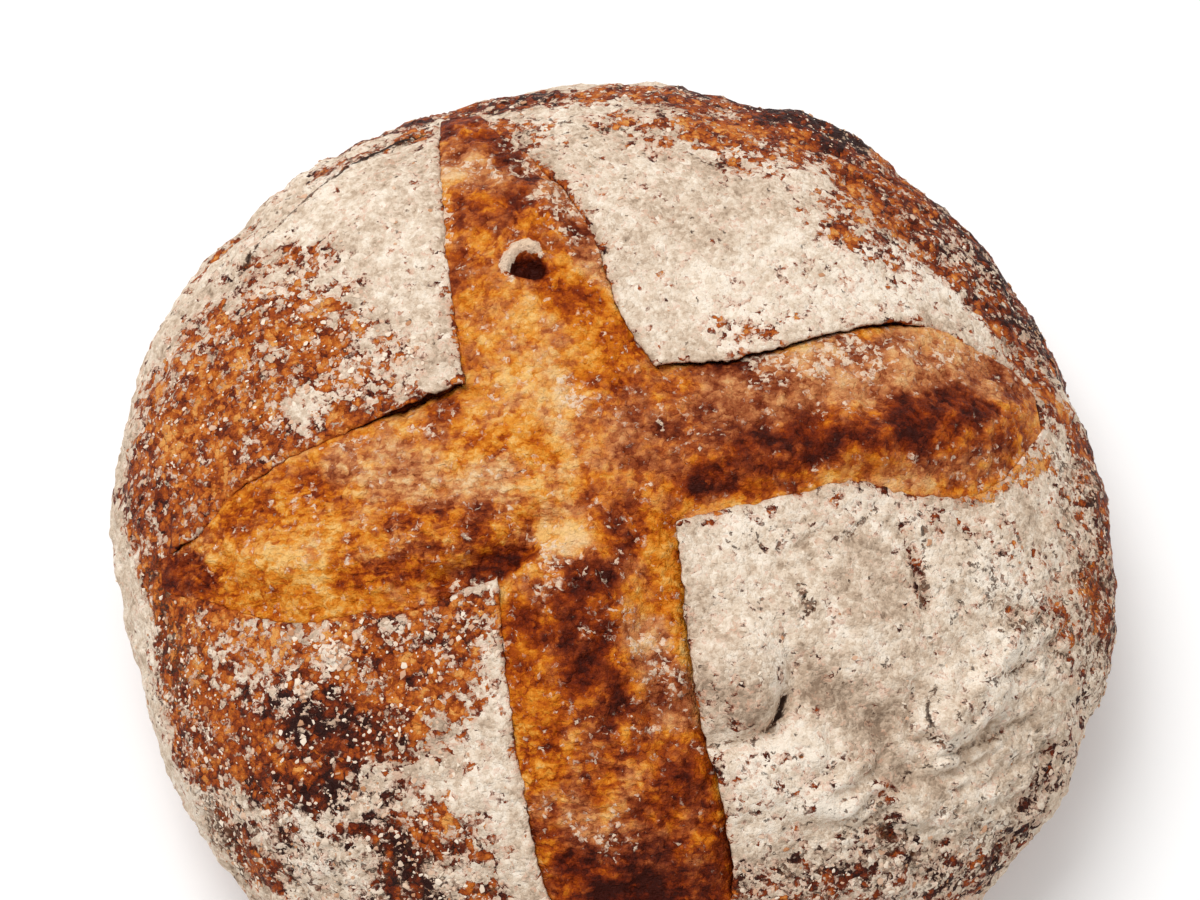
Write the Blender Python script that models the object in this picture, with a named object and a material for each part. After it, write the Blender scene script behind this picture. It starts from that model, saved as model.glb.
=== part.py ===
"""A round country loaf, baked on a stone, with two wide cuts that cross near its crown.

Metres, +Z up. The origin is the middle of the flat sole that the loaf rests on. +X is the
loaf's right and -Y its front. Places on the crust are given as (x, y) on the unrolled crust:
the distance from the crown along the surface, as a tape measure laid over the loaf reads it.
"""

import math

import bmesh
import bpy
import numpy as np
from mathutils import Vector, noise

MM = 0.001

# The whole loaf.
WIDTH = 240 * MM
CROWN_HEIGHT = 90 * MM
GIRTH_HEIGHT = 33 * MM  # where the loaf is widest
SOLE_SHARE = 0.80  # the flat sole's radius, as a share of the widest radius
FULLNESS = 2.25  # 2 is an ellipse, more is a squarer shoulder
# How far the outline is from round: (lobes, share of the radius, direction in degrees).
OUTLINE_LOBES = ((2, 0.009, -117), (3, 0.006, 39), (4, 0.010, -95))

# The four edges of the two opened cuts, as points on the unrolled crust. The left and right
# edges are (y, x), from the front of the long cut to its back. The near and far edges are
# (x, y), from the left end of the cross cut to its right end.
LEFT_EDGE = ((-128, 2), (-120, 6), (-112, -2), (-104, -8.5), (-96, -12.5), (-69, -19),
             (-46, -22.5), (-26, -24.6), (21, -32.2), (51, -37), (72, -39.5), (93, -42), (102, -43),
             (112, -43), (128, -46))
RIGHT_EDGE = ((-128, 19), (-120, 15), (-112, 21.5), (-104, 26), (-96, 27.5), (-79, 25.7),
              (-55, 19.6), (-12, 14.5), (26, 9.6), (41, 1.6), (55, -2.1), (69, -7.8), (86, -19.6),
              (102, -31), (112, -35), (128, -33))
NEAR_EDGE = ((-128, -22), (-114, -20.5), (-104, -24), (-96, -26), (-88, -29.5), (-77, -32.8),
             (-59, -32.3), (-41, -30.7), (-26, -25), (19, -10.4), (37, -5.6), (55, -1), (74, -2.9),
             (88, 0.8), (96, 7), (102, 14), (108, 20), (116, 21), (128, 18))
FAR_EDGE = ((-128, -11), (-114, -13), (-104, -11), (-98, -8), (-90, -1.6), (-76, 5.3),
            (-56, 13), (-32, 21.4), (10, 25.8), (32, 28.5), (48, 34.2), (66, 40.4), (80, 41.6),
            (90, 37.2), (97, 33.7), (103, 30), (108, 28), (116, 28), (128, 31))
CUT_ENDS = {"front": -120 * MM, "back": 110 * MM, "left": -114 * MM, "right": 109 * MM}
END_FADE = 10 * MM  # a cut's lips and hollow die away over its last stretch

# How far each edge's lip stands up, and how deep the crevice under it is.
LIP_RISE = {"left": 0.8 * MM, "right": 1.0 * MM, "near": 0.5 * MM, "far": 1.5 * MM}
CREVICE = {"left": 1.8 * MM, "right": 2.4 * MM, "near": 1.2 * MM, "far": 3.2 * MM}
LIP_WIDTH = 4 * MM
CREVICE_WIDTH = 5 * MM
BLOOM_RISE = 1.2 * MM  # how high the risen crumb stands in the middle of a cut

# Ridges and folds of the risen crumb: start, end, half width, height (a fold is negative).
FOLDS = (
    ((20, 2), (58, 7), 7.5, 3.0),  # the crest along the right arm
    ((58, 7), (92, 17), 8.5, 3.4),
    ((-78, -19), (-30, -15), 8.0, 3.0),  # the crest along the left arm
    ((-38, -24), (-14, -13), 3.0, -3.2),  # the tuck between the left and front arms
    ((-8, -26), (-6, -50), 9.0, 2.4),  # the swollen left side of the front arm
    ((8, -28), (12, -62), 4.5, -1.4),
    ((-10, 22), (-8, -20), 3.5, -1.0),  # the seam where the arms meet
    ((-24, 52), (-12, 76), 10.0, 1.6),  # the back arm's swell
)

# A burst bubble in the back arm: a pit with a raised rim.
BUBBLE = (-20, 52)
BUBBLE_PIT = 2.2 * MM  # radius
BUBBLE_DEPTH = 3.0 * MM
BUBBLE_RIM = 1.3 * MM  # height

# Low swellings and dents of the whole crust: place, half width, height (a dent is negative).
SWELLINGS = ((38, -53, 9, -1.8), (54, -62, 7, -1.6), (72, -46, 9, 1.3), (-62, 62, 22, 1.5),
             (48, 72, 24, 1.2), (-4, -33, 8, 1.6), (7, 4, 5, 1.0), (-68, -62, 24, 1.2))
LUMP_SIZE = 48 * MM
LUMP_RISE = 1.8 * MM

# The grid that is laid over the loaf.
SHEET_REACH = 128 * MM  # how far the top sheet reaches from the crown, along the crust
CORNER_PULL = 0.6  # 0 is a square sheet, 1 a round one
FLAP_CELLS = 13
CUT_CELLS = 6
LIP_OUTSIDE = (4.0 * MM, 0.9 * MM)  # grid lines beside an edge, on the flap
LIP_INSIDE = (0.012, 0.065)  # and in the cut, as shares of its width
SKIRT_ROWS = 8
BUBBLE_CUTS = 5  # the four cells round the bubble are cut finer
PROFILE_STEPS = 240


def smooth_curve(points, at):
    """The smooth line through points (place, value) in millimetres, read in metres."""
    place, value = np.array(points, float).T * MM
    slope = np.gradient(value, place)
    at = np.clip(at, place[0], place[-1])
    n = np.clip(np.searchsorted(place, at) - 1, 0, len(place) - 2)
    span = place[n + 1] - place[n]
    t = (at - place[n]) / span
    return (
        (1 + 2 * t) * (1 - t) ** 2 * value[n]
        + t * (1 - t) ** 2 * span * slope[n]
        + t * t * (3 - 2 * t) * value[n + 1]
        - t * t * (1 - t) * span * slope[n + 1]
    )


def smooth_step(low, high, at):
    t = np.clip((at - low) / (high - low), 0, 1)
    return t * t * (3 - 2 * t)


def side_profile():
    """Distance along the crust, radius and height, from the crown to the sole's rim."""
    radius = WIDTH / 2
    turn = np.linspace(0, math.pi / 2, PROFILE_STEPS)
    dome_r = radius * np.sin(turn) ** (2 / FULLNESS)
    dome_z = GIRTH_HEIGHT + (CROWN_HEIGHT - GIRTH_HEIGHT) * np.cos(turn) ** (2 / FULLNESS)
    foot_r = radius * (SOLE_SHARE + (1 - SOLE_SHARE) * np.cos(turn[1:]))
    foot_z = GIRTH_HEIGHT * (1 - np.sin(turn[1:]))
    r = np.concatenate([dome_r, foot_r])
    z = np.concatenate([dome_z, foot_z])
    steps = np.hypot(np.diff(r), np.diff(z))
    return np.concatenate([[0], np.cumsum(steps)]), r, z


ALONG, RADIUS, RISE = side_profile()
CRUST_LENGTH = ALONG[-1]


def outline_share(angle):
    lobes = (share * np.cos(count * angle - math.radians(toward))
             for count, share, toward in OUTLINE_LOBES)
    return 1 + sum(lobes)


def smooth_loaf(x, y):
    """The point of the plain loaf at (x, y) on the unrolled crust."""
    along = np.hypot(x, y)
    angle = np.arctan2(y, x)
    r = np.interp(along, ALONG, RADIUS) * outline_share(angle)
    z = np.interp(along, ALONG, RISE)
    return np.stack([r * np.cos(angle), r * np.sin(angle), z], axis=-1)


def outward(x, y, step=1.5 * MM):
    """The direction that points straight out of the plain loaf there."""
    across = smooth_loaf(x + step, y) - smooth_loaf(x - step, y)
    back = smooth_loaf(x, y + step) - smooth_loaf(x, y - step)
    normal = np.cross(across, back)
    return normal / np.linalg.norm(normal, axis=-1, keepdims=True)


def openness(at, low_end, high_end):
    """1 along a cut, falling to 0 at its two ends."""
    opened = smooth_step(low_end, low_end + END_FADE, at)
    return opened * (1 - smooth_step(high_end - END_FADE, high_end, at))


def nearest_edge(x, y):
    """(distance from the cross's edge, lip rise, crevice depth); the distance is below 0 in a cut."""
    left = smooth_curve(LEFT_EDGE, y) - x
    right = x - smooth_curve(RIGHT_EDGE, y)
    near = smooth_curve(NEAR_EDGE, x) - y
    far = y - smooth_curve(FAR_EDGE, x)
    long_cut = np.maximum(left, right)
    cross_cut = np.maximum(near, far)
    along_long = openness(y, CUT_ENDS["front"], CUT_ENDS["back"])
    along_cross = openness(x, CUT_ENDS["left"], CUT_ENDS["right"])

    def by_edge(sizes):
        long_size = np.where(left > right, sizes["left"], sizes["right"]) * along_long
        cross_size = np.where(near > far, sizes["near"], sizes["far"]) * along_cross
        return np.where(long_cut < cross_cut, long_size, cross_size)

    opened = np.where(long_cut < cross_cut, along_long, along_cross)
    return np.minimum(long_cut, cross_cut), opened, by_edge(LIP_RISE), by_edge(CREVICE)


def ridge(x, y, start, end, half_width, height):
    """A soft bank from start to end, all in millimetres."""
    start = np.array(start) * MM
    run = np.array(end) * MM - start
    share = ((x - start[0]) * run[0] + (y - start[1]) * run[1]) / (run @ run)
    share = np.clip(share, 0, 1)
    away = np.hypot(x - start[0] - share * run[0], y - start[1] - share * run[1])
    return height * MM * np.exp(-((away / (half_width * MM)) ** 2))


def burst_bubble(x, y):
    away = np.hypot(x - BUBBLE[0] * MM, y - BUBBLE[1] * MM) / BUBBLE_PIT
    return BUBBLE_RIM * np.exp(-((away - 1.45) / 0.45) ** 2) - BUBBLE_DEPTH * np.exp(-(away**4))


def relief(x, y):
    """How far the baked crust stands out from the plain loaf."""
    distance, opened, lip, crevice = nearest_edge(x, y)
    outside = np.clip(distance, 0, None)
    inside = np.clip(-distance, 0, None)
    lip_height = lip * np.exp(-outside / LIP_WIDTH)
    bloom = BLOOM_RISE * opened * smooth_step(0, 16 * MM, inside)
    crumb = bloom - crevice * np.exp(-inside / CREVICE_WIDTH)
    crumb += sum(ridge(x, y, *fold) for fold in FOLDS) * smooth_step(0, 7 * MM, inside) * opened
    wall = smooth_step(-0.4 * MM, 0.6 * MM, distance)
    swellings = sum(ridge(x, y, (px, py), (px + 0.1, py), half_width, height)
                    for px, py, half_width, height in SWELLINGS)
    return wall * lip_height + (1 - wall) * crumb + swellings + burst_bubble(x, y)


def lumps(points):
    """Slow swellings of the whole loaf, as dough has."""
    flat = [noise.noise(Vector(p) / LUMP_SIZE) for p in points.reshape(-1, 3)]
    return LUMP_RISE * np.array(flat).reshape(points.shape[:-1])


def baked_loaf(x, y):
    """The point of the finished crust at (x, y) on the unrolled crust."""
    plain = smooth_loaf(x, y)
    stand_out = relief(x, y) + lumps(plain)
    above_sole = 1 - smooth_step(0.82, 0.97, np.hypot(x, y) / CRUST_LENGTH)
    return plain + outward(x, y) * (stand_out * above_sole)[..., None]


def line_shares():
    """Each grid line's place: shares of the low side, the two edges and the high side, and a step."""
    rows = []
    for n in range(FLAP_CELLS):
        share = n / FLAP_CELLS
        rows.append((1 - share, share, 0, 0, -share * LIP_OUTSIDE[0]))
    rows += [(0, 1, 0, 0, -step) for step in LIP_OUTSIDE]
    flank = len(rows)
    first, last = LIP_INSIDE
    inner = [first, *np.linspace(last, 1 - last, CUT_CELLS + 1), 1 - first]
    rows += [(0, 1 - share, share, 0, 0) for share in inner]
    rows += [(d, c, b, a, -step) for a, b, c, d, step in reversed(rows[:flank])]
    return np.array(rows)


def sheet_factor(other):
    """How much the sheet narrows where the other coordinate nears its rim."""
    return 1 - CORNER_PULL + CORNER_PULL * np.sqrt(1 - other**2 / 2)


def sheet_places(shares):
    """(a, b) of every grid point, each from -1 to 1, so that lines run along the cuts' edges."""
    low, edge_low, edge_high, high, step = shares.T[:, :, None]
    plain = high - low + (edge_high - edge_low) * 0.15
    a = np.broadcast_to(plain, (len(shares), len(shares))).copy()
    b = a.T.copy()
    for _ in range(12):
        wide = SHEET_REACH * sheet_factor(b)
        deep = SHEET_REACH * sheet_factor(a)
        x, y = a * wide, b * deep
        left, right = smooth_curve(LEFT_EDGE, y) / wide, smooth_curve(RIGHT_EDGE, y) / wide
        near, far = smooth_curve(NEAR_EDGE, x) / deep, smooth_curve(FAR_EDGE, x) / deep
        a = high - low + edge_low * left + edge_high * right + step / wide
        b = high.T - low.T + edge_low.T * near + edge_high.T * far + step.T / deep
    return a, b


def crust_places(a, b, down=0.0):
    """(x, y) on the unrolled crust of a sheet place, let down towards the sole's rim by a share."""
    x = SHEET_REACH * a * sheet_factor(b)
    y = SHEET_REACH * b * sheet_factor(a)
    rim_x = CRUST_LENGTH * a * np.sqrt(1 - b**2 / 2)
    rim_y = CRUST_LENGTH * b * np.sqrt(1 - a**2 / 2)
    return x + (rim_x - x) * down, y + (rim_y - y) * down


def grid_value(values, across, deep):
    """The value between grid lines, at (across, deep) counted in lines."""
    column = np.minimum(across.astype(int), len(values) - 2)
    row = np.minimum(deep.astype(int), len(values) - 2)
    u, v = across - column, deep - row
    front = values[column, row] * (1 - u) + values[column + 1, row] * u
    back = values[column, row + 1] * (1 - u) + values[column + 1, row + 1] * u
    return front * (1 - v) + back * v


def flat_places(verts, a, b):
    """(a, b) of each corner of the flat grid, which runs from -1 to 1 both ways."""
    across, deep = (np.array([vert.co.xy for vert in verts]).T + 1) / 2 * (len(a) - 1)
    return grid_value(a, across, deep), grid_value(b, across, deep)


def make_loaf():
    """One closed body: a grid over the crown, let down in rows to the sole, and the flat sole."""
    a, b = sheet_places(line_shares())
    mesh = bmesh.new()
    bmesh.ops.create_grid(mesh, x_segments=len(a) - 1, y_segments=len(a) - 1, size=1)

    x, y = crust_places(*flat_places(mesh.verts, a, b))
    mesh.verts.ensure_lookup_table()
    middle = mesh.verts[np.argmin(np.hypot(x - BUBBLE[0] * MM, y - BUBBLE[1] * MM))]
    fine_edges = list({edge for face in middle.link_faces for edge in face.edges})
    bmesh.ops.subdivide_edges(mesh, edges=fine_edges, cuts=BUBBLE_CUTS, use_grid_fill=True)

    sheet = list(mesh.verts)
    place = dict(zip(sheet, zip(*flat_places(sheet, a, b))))
    level = dict.fromkeys(sheet, 0.0)
    rim = [edge for edge in mesh.edges if edge.is_boundary]
    for row in range(1, SKIRT_ROWS + 1):
        grown = bmesh.ops.extrude_edge_only(mesh, edges=rim)["geom"]
        fresh = {item for item in grown if isinstance(item, bmesh.types.BMVert)}
        rim = [item for item in grown if isinstance(item, bmesh.types.BMEdge)
               and fresh.issuperset(item.verts)]
        for vert in fresh:
            above = next(edge.other_vert(vert) for edge in vert.link_edges
                         if edge.other_vert(vert) not in fresh)
            place[vert] = place[above]
            level[vert] = row / SKIRT_ROWS

    sheet_a, sheet_b = np.array(list(place.values())).T
    down = np.array([level[vert] for vert in place])
    points = baked_loaf(*crust_places(sheet_a, sheet_b, down))
    points[down == 1, 2] = 0.0
    for vert, point in zip(place, points):
        vert.co = point
    bmesh.ops.holes_fill(mesh, edges=rim, sides=0)
    bmesh.ops.recalc_face_normals(mesh, faces=mesh.faces)
    data = bpy.data.meshes.new("loaf")
    mesh.to_mesh(data)
    mesh.free()
    data.shade_smooth()
    data.set_sharp_from_angle(angle=math.radians(50))
    return bpy.data.objects.new("loaf", data)


def crust_finish():
    """Baked wheat crust under a dusting of rice flour: dull, light brown, not metallic."""
    finish = bpy.data.materials.new("crust")
    finish.use_nodes = True
    shader = finish.node_tree.nodes["Principled BSDF"]
    shader.inputs["Base Color"].default_value = (0.48, 0.27, 0.12, 1)
    shader.inputs["Roughness"].default_value = 0.75
    shader.inputs["Metallic"].default_value = 0.0
    return finish


for leftover in list(bpy.data.objects):
    bpy.data.objects.remove(leftover)
loaf_parts = bpy.data.collections.new("sourdough_loaf")
bpy.context.scene.collection.children.link(loaf_parts)
loaf = make_loaf()
loaf.data.materials.append(crust_finish())
loaf_parts.objects.link(loaf)
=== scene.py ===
"""A round sourdough loaf, cross-cut and dusted with flour, on a white table in soft light."""
import math

import bmesh
import bpy
import numpy as np
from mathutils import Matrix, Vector, noise


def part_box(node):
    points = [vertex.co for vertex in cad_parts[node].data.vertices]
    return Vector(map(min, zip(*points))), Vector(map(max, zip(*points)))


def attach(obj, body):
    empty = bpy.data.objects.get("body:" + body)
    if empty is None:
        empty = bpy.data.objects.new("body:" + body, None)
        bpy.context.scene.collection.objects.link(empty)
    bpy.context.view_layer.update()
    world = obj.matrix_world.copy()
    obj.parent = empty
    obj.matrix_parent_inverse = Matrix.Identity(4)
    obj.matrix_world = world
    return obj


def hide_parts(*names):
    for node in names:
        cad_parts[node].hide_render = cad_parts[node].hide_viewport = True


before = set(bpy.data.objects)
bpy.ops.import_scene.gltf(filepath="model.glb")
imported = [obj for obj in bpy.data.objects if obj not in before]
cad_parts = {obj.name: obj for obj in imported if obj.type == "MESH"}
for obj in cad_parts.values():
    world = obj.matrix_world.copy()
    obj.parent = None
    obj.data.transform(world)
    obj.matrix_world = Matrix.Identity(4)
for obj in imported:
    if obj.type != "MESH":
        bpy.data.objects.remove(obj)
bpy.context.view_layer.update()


# The crust: the skin of the dough, baked hard. It holds the four flaps that the two cuts left,
# the sides and the flat sole. It is modelled as one closed body with a channel under the cuts.
# Places on it are (x, y) in millimetres along the unrolled crust from the crown.
MM = 0.001
low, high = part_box("loaf")
CENTRE = (low + high) / 2
WIDEST = (high.x - low.x) / 2 / MM
BLOOM_TOP = 4.1  # the risen crumb stands this far above the plain dome
CROWN = high.z / MM - BLOOM_TOP
GIRTH = 33.0
SOLE_SHARE = 0.80
FULLNESS = 2.25
OUTLINE_LOBES = ((2, 0.009, -117), (3, 0.006, 39), (4, 0.010, -95))


def smooth_step(start, end, at):
    t = np.clip((at - start) / (end - start), 0, 1)
    return t * t * (3 - 2 * t)


def side_profile():
    turn = np.linspace(0, math.pi / 2, 400)
    dome_r = WIDEST * np.sin(turn) ** (2 / FULLNESS)
    dome_z = GIRTH + (CROWN - GIRTH) * np.cos(turn) ** (2 / FULLNESS)
    foot_r = WIDEST * (SOLE_SHARE + (1 - SOLE_SHARE) * np.cos(turn[1:]))
    foot_z = GIRTH * (1 - np.sin(turn[1:]))
    r, z = np.concatenate([dome_r, foot_r]), np.concatenate([dome_z, foot_z])
    return np.concatenate([[0], np.cumsum(np.hypot(np.diff(r), np.diff(z)))]), r, z


ALONG, RADIUS, RISE = side_profile()
CRUST_LENGTH = ALONG[-1]


def plain_loaf(x, y):
    """The smooth loaf under the crust's relief, in millimetres."""
    along, angle = np.hypot(x, y), np.arctan2(y, x)
    outline = 1 + sum(share * np.cos(count * angle - math.radians(toward))
                      for count, share, toward in OUTLINE_LOBES)
    r = np.interp(along, ALONG, RADIUS) * outline
    return np.stack([r * np.cos(angle), r * np.sin(angle), np.interp(along, ALONG, RISE)], -1)


def outward(x, y, step=1.5):
    across = plain_loaf(x + step, y) - plain_loaf(x - step, y)
    back = plain_loaf(x, y + step) - plain_loaf(x, y - step)
    normal = np.cross(across, back)
    return normal / np.linalg.norm(normal, axis=-1, keepdims=True)


def grain(points, size, octaves=1, seed=0):
    """Soft noise at each point, about -1 to 1, whose lumps measure this many millimetres."""
    shift = Vector((seed * 7.3, seed * 3.1, seed * 5.7))
    if octaves == 1:
        values = [noise.noise(Vector(p) / size + shift) for p in points.reshape(-1, 3)]
    else:
        values = [noise.fractal(Vector(p) / size + shift, 0.9, 2.1, octaves)
                  for p in points.reshape(-1, 3)]
    return np.array(values).reshape(points.shape[:-1])


def cut_edge(points, seed):
    """A cut's edge, as a table: a smooth line through points with the small nicks of torn dough."""
    place, value = np.array(points, float).T
    slope = np.gradient(value, place)
    at = np.arange(place[0], place[-1], 0.2)
    n = np.clip(np.searchsorted(place, at) - 1, 0, len(place) - 2)
    span = place[n + 1] - place[n]
    t = (at - place[n]) / span
    line = ((1 + 2 * t) * (1 - t) ** 2 * value[n] + t * (1 - t) ** 2 * span * slope[n]
            + t * t * (3 - 2 * t) * value[n + 1] - t * t * (1 - t) * span * slope[n + 1])
    nicks = [0.9 * noise.noise(Vector((a / 6, seed, 0))) + 0.6 * noise.noise(Vector((a / 2.2, seed, 4)))
             + 0.3 * noise.noise(Vector((a / 1.1, seed, 8))) for a in at]
    return at, line + nicks


# The left and right edges run front to back, as (y, x); the near and far ones left to right, as (x, y).
LEFT = cut_edge(((-128, 2), (-120, 6), (-112, -2), (-104, -8.5), (-96, -12.5), (-69, -19),
                 (-46, -22.5), (-26, -24.6), (21, -32.2), (51, -37), (72, -39.5), (93, -42),
                 (102, -43), (112, -43), (128, -46)), 1)
RIGHT = cut_edge(((-128, 19), (-120, 15), (-112, 21.5), (-104, 26), (-96, 27.5), (-79, 25.7),
                  (-55, 19.6), (-12, 14.5), (26, 9.6), (41, 1.6), (55, -2.1), (69, -7.8),
                  (86, -19.6), (102, -31), (112, -35), (128, -33)), 2)
NEAR = cut_edge(((-128, -22), (-114, -20.5), (-104, -24), (-96, -26), (-88, -29.5), (-77, -32.8),
                 (-59, -32.3), (-41, -30.7), (-26, -25), (19, -10.4), (37, -5.6), (55, -1),
                 (74, -2.9), (88, 0.8), (96, 7), (102, 14), (108, 20), (116, 21), (128, 18)), 3)
FAR = cut_edge(((-128, -11), (-114, -13), (-104, -11), (-98, -8), (-90, -1.6), (-76, 5.3),
                (-56, 13), (-32, 21.4), (10, 25.8), (32, 28.5), (48, 34.2), (66, 40.4), (80, 41.6),
                (90, 38.6), (97, 36.6), (102, 34.2), (106, 31), (109, 27.5), (116, 27), (128, 30)), 4)
CUT_ENDS = {"front": -120, "back": 110, "left": -114, "right": 109}
END_FADE = 10
# The lip's rise and the crevice's depth at the front (or left) and the back (or right) of each edge.
LIP_RISE = {"left": (1.0, 1.0), "right": (1.2, 1.2), "near": (0.5, 0.4), "far": (1.5, 1.4)}
CREVICE = {"left": (2.0, 1.4), "right": (2.6, 1.8), "near": (1.4, 0.9), "far": (3.0, 2.0)}


# Where the crust's edge lifted clear of the crumb; elsewhere the two met almost flush.
LIFTED = (((-44, 18), (-29, 21), 7, 0.65), ((16, 26), (70, 41), 6, 0.36), ((11, -15), (24, -90), 6, 0.5),
          ((84, 42), (108, 28), 7, -0.3), ((-98, -6), (-64, 10), 6, -0.2), ((-40, 108), (-18, 84), 8, -0.15),
          ((-24, -30), (-14, -60), 6, 0.05), ((-14, -60), (-4, -100), 6, 0.15), ((-30, 100), (-6, 56), 5, -0.2), ((-34, -28), (-22, -22), 6, 0.4),
          ((14, 26), (-8, 60), 5, 0.15), ((-14, 84), (-8, 70), 6, 0.1), ((96, 6), (106, 34), 9, -0.25))


def openness(at, start, end):
    """1 along a cut, falling to 0 at its two ends."""
    return smooth_step(start, start + END_FADE, at) * (1 - smooth_step(end - END_FADE, end, at))


def cross_edges(x, y):
    """How far outside each cut a place is, how open each is there, and a reader of sizes by edge."""
    left, right = np.interp(y, *LEFT) - x, x - np.interp(y, *RIGHT)
    near, far = np.interp(x, *NEAR) - y, y - np.interp(x, *FAR)
    open_long = openness(y, CUT_ENDS["front"], CUT_ENDS["back"])
    open_cross = openness(x, CUT_ENDS["left"], CUT_ENDS["right"])
    to_back, to_right = smooth_step(-30, 30, y), smooth_step(-30, 30, x)

    def size(sizes, edge):
        first, last = sizes[edge]
        return first + (last - first) * (to_back if edge in ("left", "right") else to_right)

    lifted = 0.38 + patch(x, y, LIFTED)

    def by_cut(sizes):
        return (np.where(left > right, size(sizes, "left"), size(sizes, "right")) * open_long * lifted,
                np.where(near > far, size(sizes, "near"), size(sizes, "far")) * open_cross * lifted)

    return np.maximum(left, right), np.maximum(near, far), open_long, open_cross, by_cut


def bank(x, y, start, end, half_width, height):
    """A soft ridge, or a hollow, along a line from start to end."""
    run = np.subtract(end, start)
    share = ((x - start[0]) * run[0] + (y - start[1]) * run[1]) / (run @ run + 1e-9)
    share = np.clip(share, 0, 1)
    away = np.hypot(x - start[0] - share * run[0], y - start[1] - share * run[1])
    return height * np.exp(-((away / half_width) ** 2))


def patch(x, y, spots, drift=(0, 0)):
    """The sum of soft-edged patches (start, end, half width, amount); drift bends the wide ones."""
    total = np.zeros_like(x)
    for start, end, half_width, amount in spots:
        bend = min(half_width / 8, 1)
        px, py = x + bend * drift[0], y + bend * drift[1]
        run = np.subtract(end, start)
        share = ((px - start[0]) * run[0] + (py - start[1]) * run[1]) / (run @ run + 1e-9)
        share = np.clip(share, 0, 1)
        away = np.hypot(px - start[0] - share * run[0], py - start[1] - share * run[1])
        total += amount * (1 - smooth_step(0.5, 1.5, away / half_width))
    return total


SWELLINGS = (((38, -53), (39, -53), 9, -1.8), ((54, -62), (55, -62), 7, -1.6),
             ((72, -46), (74, -46), 9, 1.3), ((-62, 62), (-61, 62), 22, 1.5),
             ((48, 72), (49, 72), 24, 1.2), ((-4, -33), (-3, -33), 8, 1.6),
             ((7, 4), (8, 4), 5, 1.0), ((-68, -62), (-67, -62), 24, 1.2), ((52, 110), (62, 104), 9, 3.0),
             ((120, -72), (108, -92), 12, 1.8), ((132, 4), (132, -30), 12, 1.2), ((126, 27), (130, 14), 8, 1.2),
             ((-108, 72), (-116, 54), 11, 1.9))
LUMP_SIZE, LUMP_RISE = 48.0, 1.8


def set_on_loaf(x, y, relief):
    """Points of a surface that stands relief millimetres proud of the plain loaf, in metres."""
    plain = plain_loaf(x, y)
    lumps = LUMP_RISE * grain(plain, LUMP_SIZE)
    above_sole = 1 - smooth_step(0.84, 0.985, np.hypot(x, y) / CRUST_LENGTH)
    swell = sum(bank(x, y, *one) for one in SWELLINGS)
    points = plain + outward(x, y) * ((relief + swell + lumps) * above_sole)[..., None]
    return points * MM + np.array((CENTRE.x, CENTRE.y, 0))


def sheet_side(along):
    """How far the top sheet reaches to one side, in millimetres; its corners are drawn in."""
    return 128 - 22.5 * (along / 105.5) ** 2


def lattice(columns, rows, sides):
    """Where a lattice's lines cross. A line is shares of (low side, edge, edge, high side) and a step."""
    low_x, high_x, low_y, high_y = sides
    x = np.tile(columns[:, :4] @ (-118, -28, 12, 118) + columns[:, 4], (len(rows), 1)).T
    y = np.tile(rows[:, :4] @ (-118, -18, 25, 118) + rows[:, 4], (len(columns), 1))
    a, b, c, d, step = columns.T[:, :, None]
    e, f, g, h, row_step = rows.T[:, None, :]
    for _ in range(16):
        new_x = a * low_x(y) + b * np.interp(y, *LEFT) + c * np.interp(y, *RIGHT) + d * high_x(y) + step
        new_y = e * low_y(x) + f * np.interp(x, *NEAR) + g * np.interp(x, *FAR) + h * high_y(x) + row_step
        x, y = new_x, new_y
    return x, y


FLAP_LINES = 106
LIP_LINES = (3.4, 2.5, 1.8, 1.2, 0.75, 0.4, 0.15)
# Where a cut is open, the wall under the lip tucks back below the flap: (tuck, depth) of each line.
WALL_LINES = ((0.1, 0.5), (0.6, 1.3), (1.2, 2.4), (1.5, 4.5), (1.2, 7.5))
WALL_STEP = 0.22
CHANNEL_DEPTH = 9.0


def crust_lines():
    flank = [(1 - n / FLAP_LINES, n / FLAP_LINES, 0, 0, -n / FLAP_LINES * LIP_LINES[0], 0)
             for n in range(FLAP_LINES)]
    flank += [(0, 1, 0, 0, -step, 0) for step in LIP_LINES]
    flank += [(0, 1, 0, 0, WALL_STEP * (n + 1), depth) for n, (_, depth) in enumerate(WALL_LINES)]
    channel = [(0, 1 - s, s, 0, 0, CHANNEL_DEPTH) for s in (0.3, 0.7)]
    other = [(d, c, b, a, -step, depth) for a, b, c, d, step, depth in reversed(flank)]
    return np.array(flank + channel + other)


lines = crust_lines()
side = (lambda y: -sheet_side(y), sheet_side, lambda x: -sheet_side(x), sheet_side)
x, y = lattice(lines[:, :5], lines[:, :5], side)
depth = lines[:, 5]
# Where one cut's wall meets the other cut's channel, it stands straight and not tucked back.
tucks = [0.0] * (FLAP_LINES + len(LIP_LINES)) + [tuck + WALL_STEP * (n + 1) for n, (tuck, _) in enumerate(WALL_LINES)] + [0.0]
tucks = np.array([-tuck for tuck in tucks] + tucks[::-1])
straight = 1 - smooth_step(3, 8, depth)
tuck_x = tucks[:, None] * straight[None, :] * openness(y, CUT_ENDS["front"], CUT_ENDS["back"])
tuck_y = tucks[None, :] * straight[:, None] * openness(x, CUT_ENDS["left"], CUT_ENDS["right"])
x, y = x + tuck_x, y + tuck_y

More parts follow.
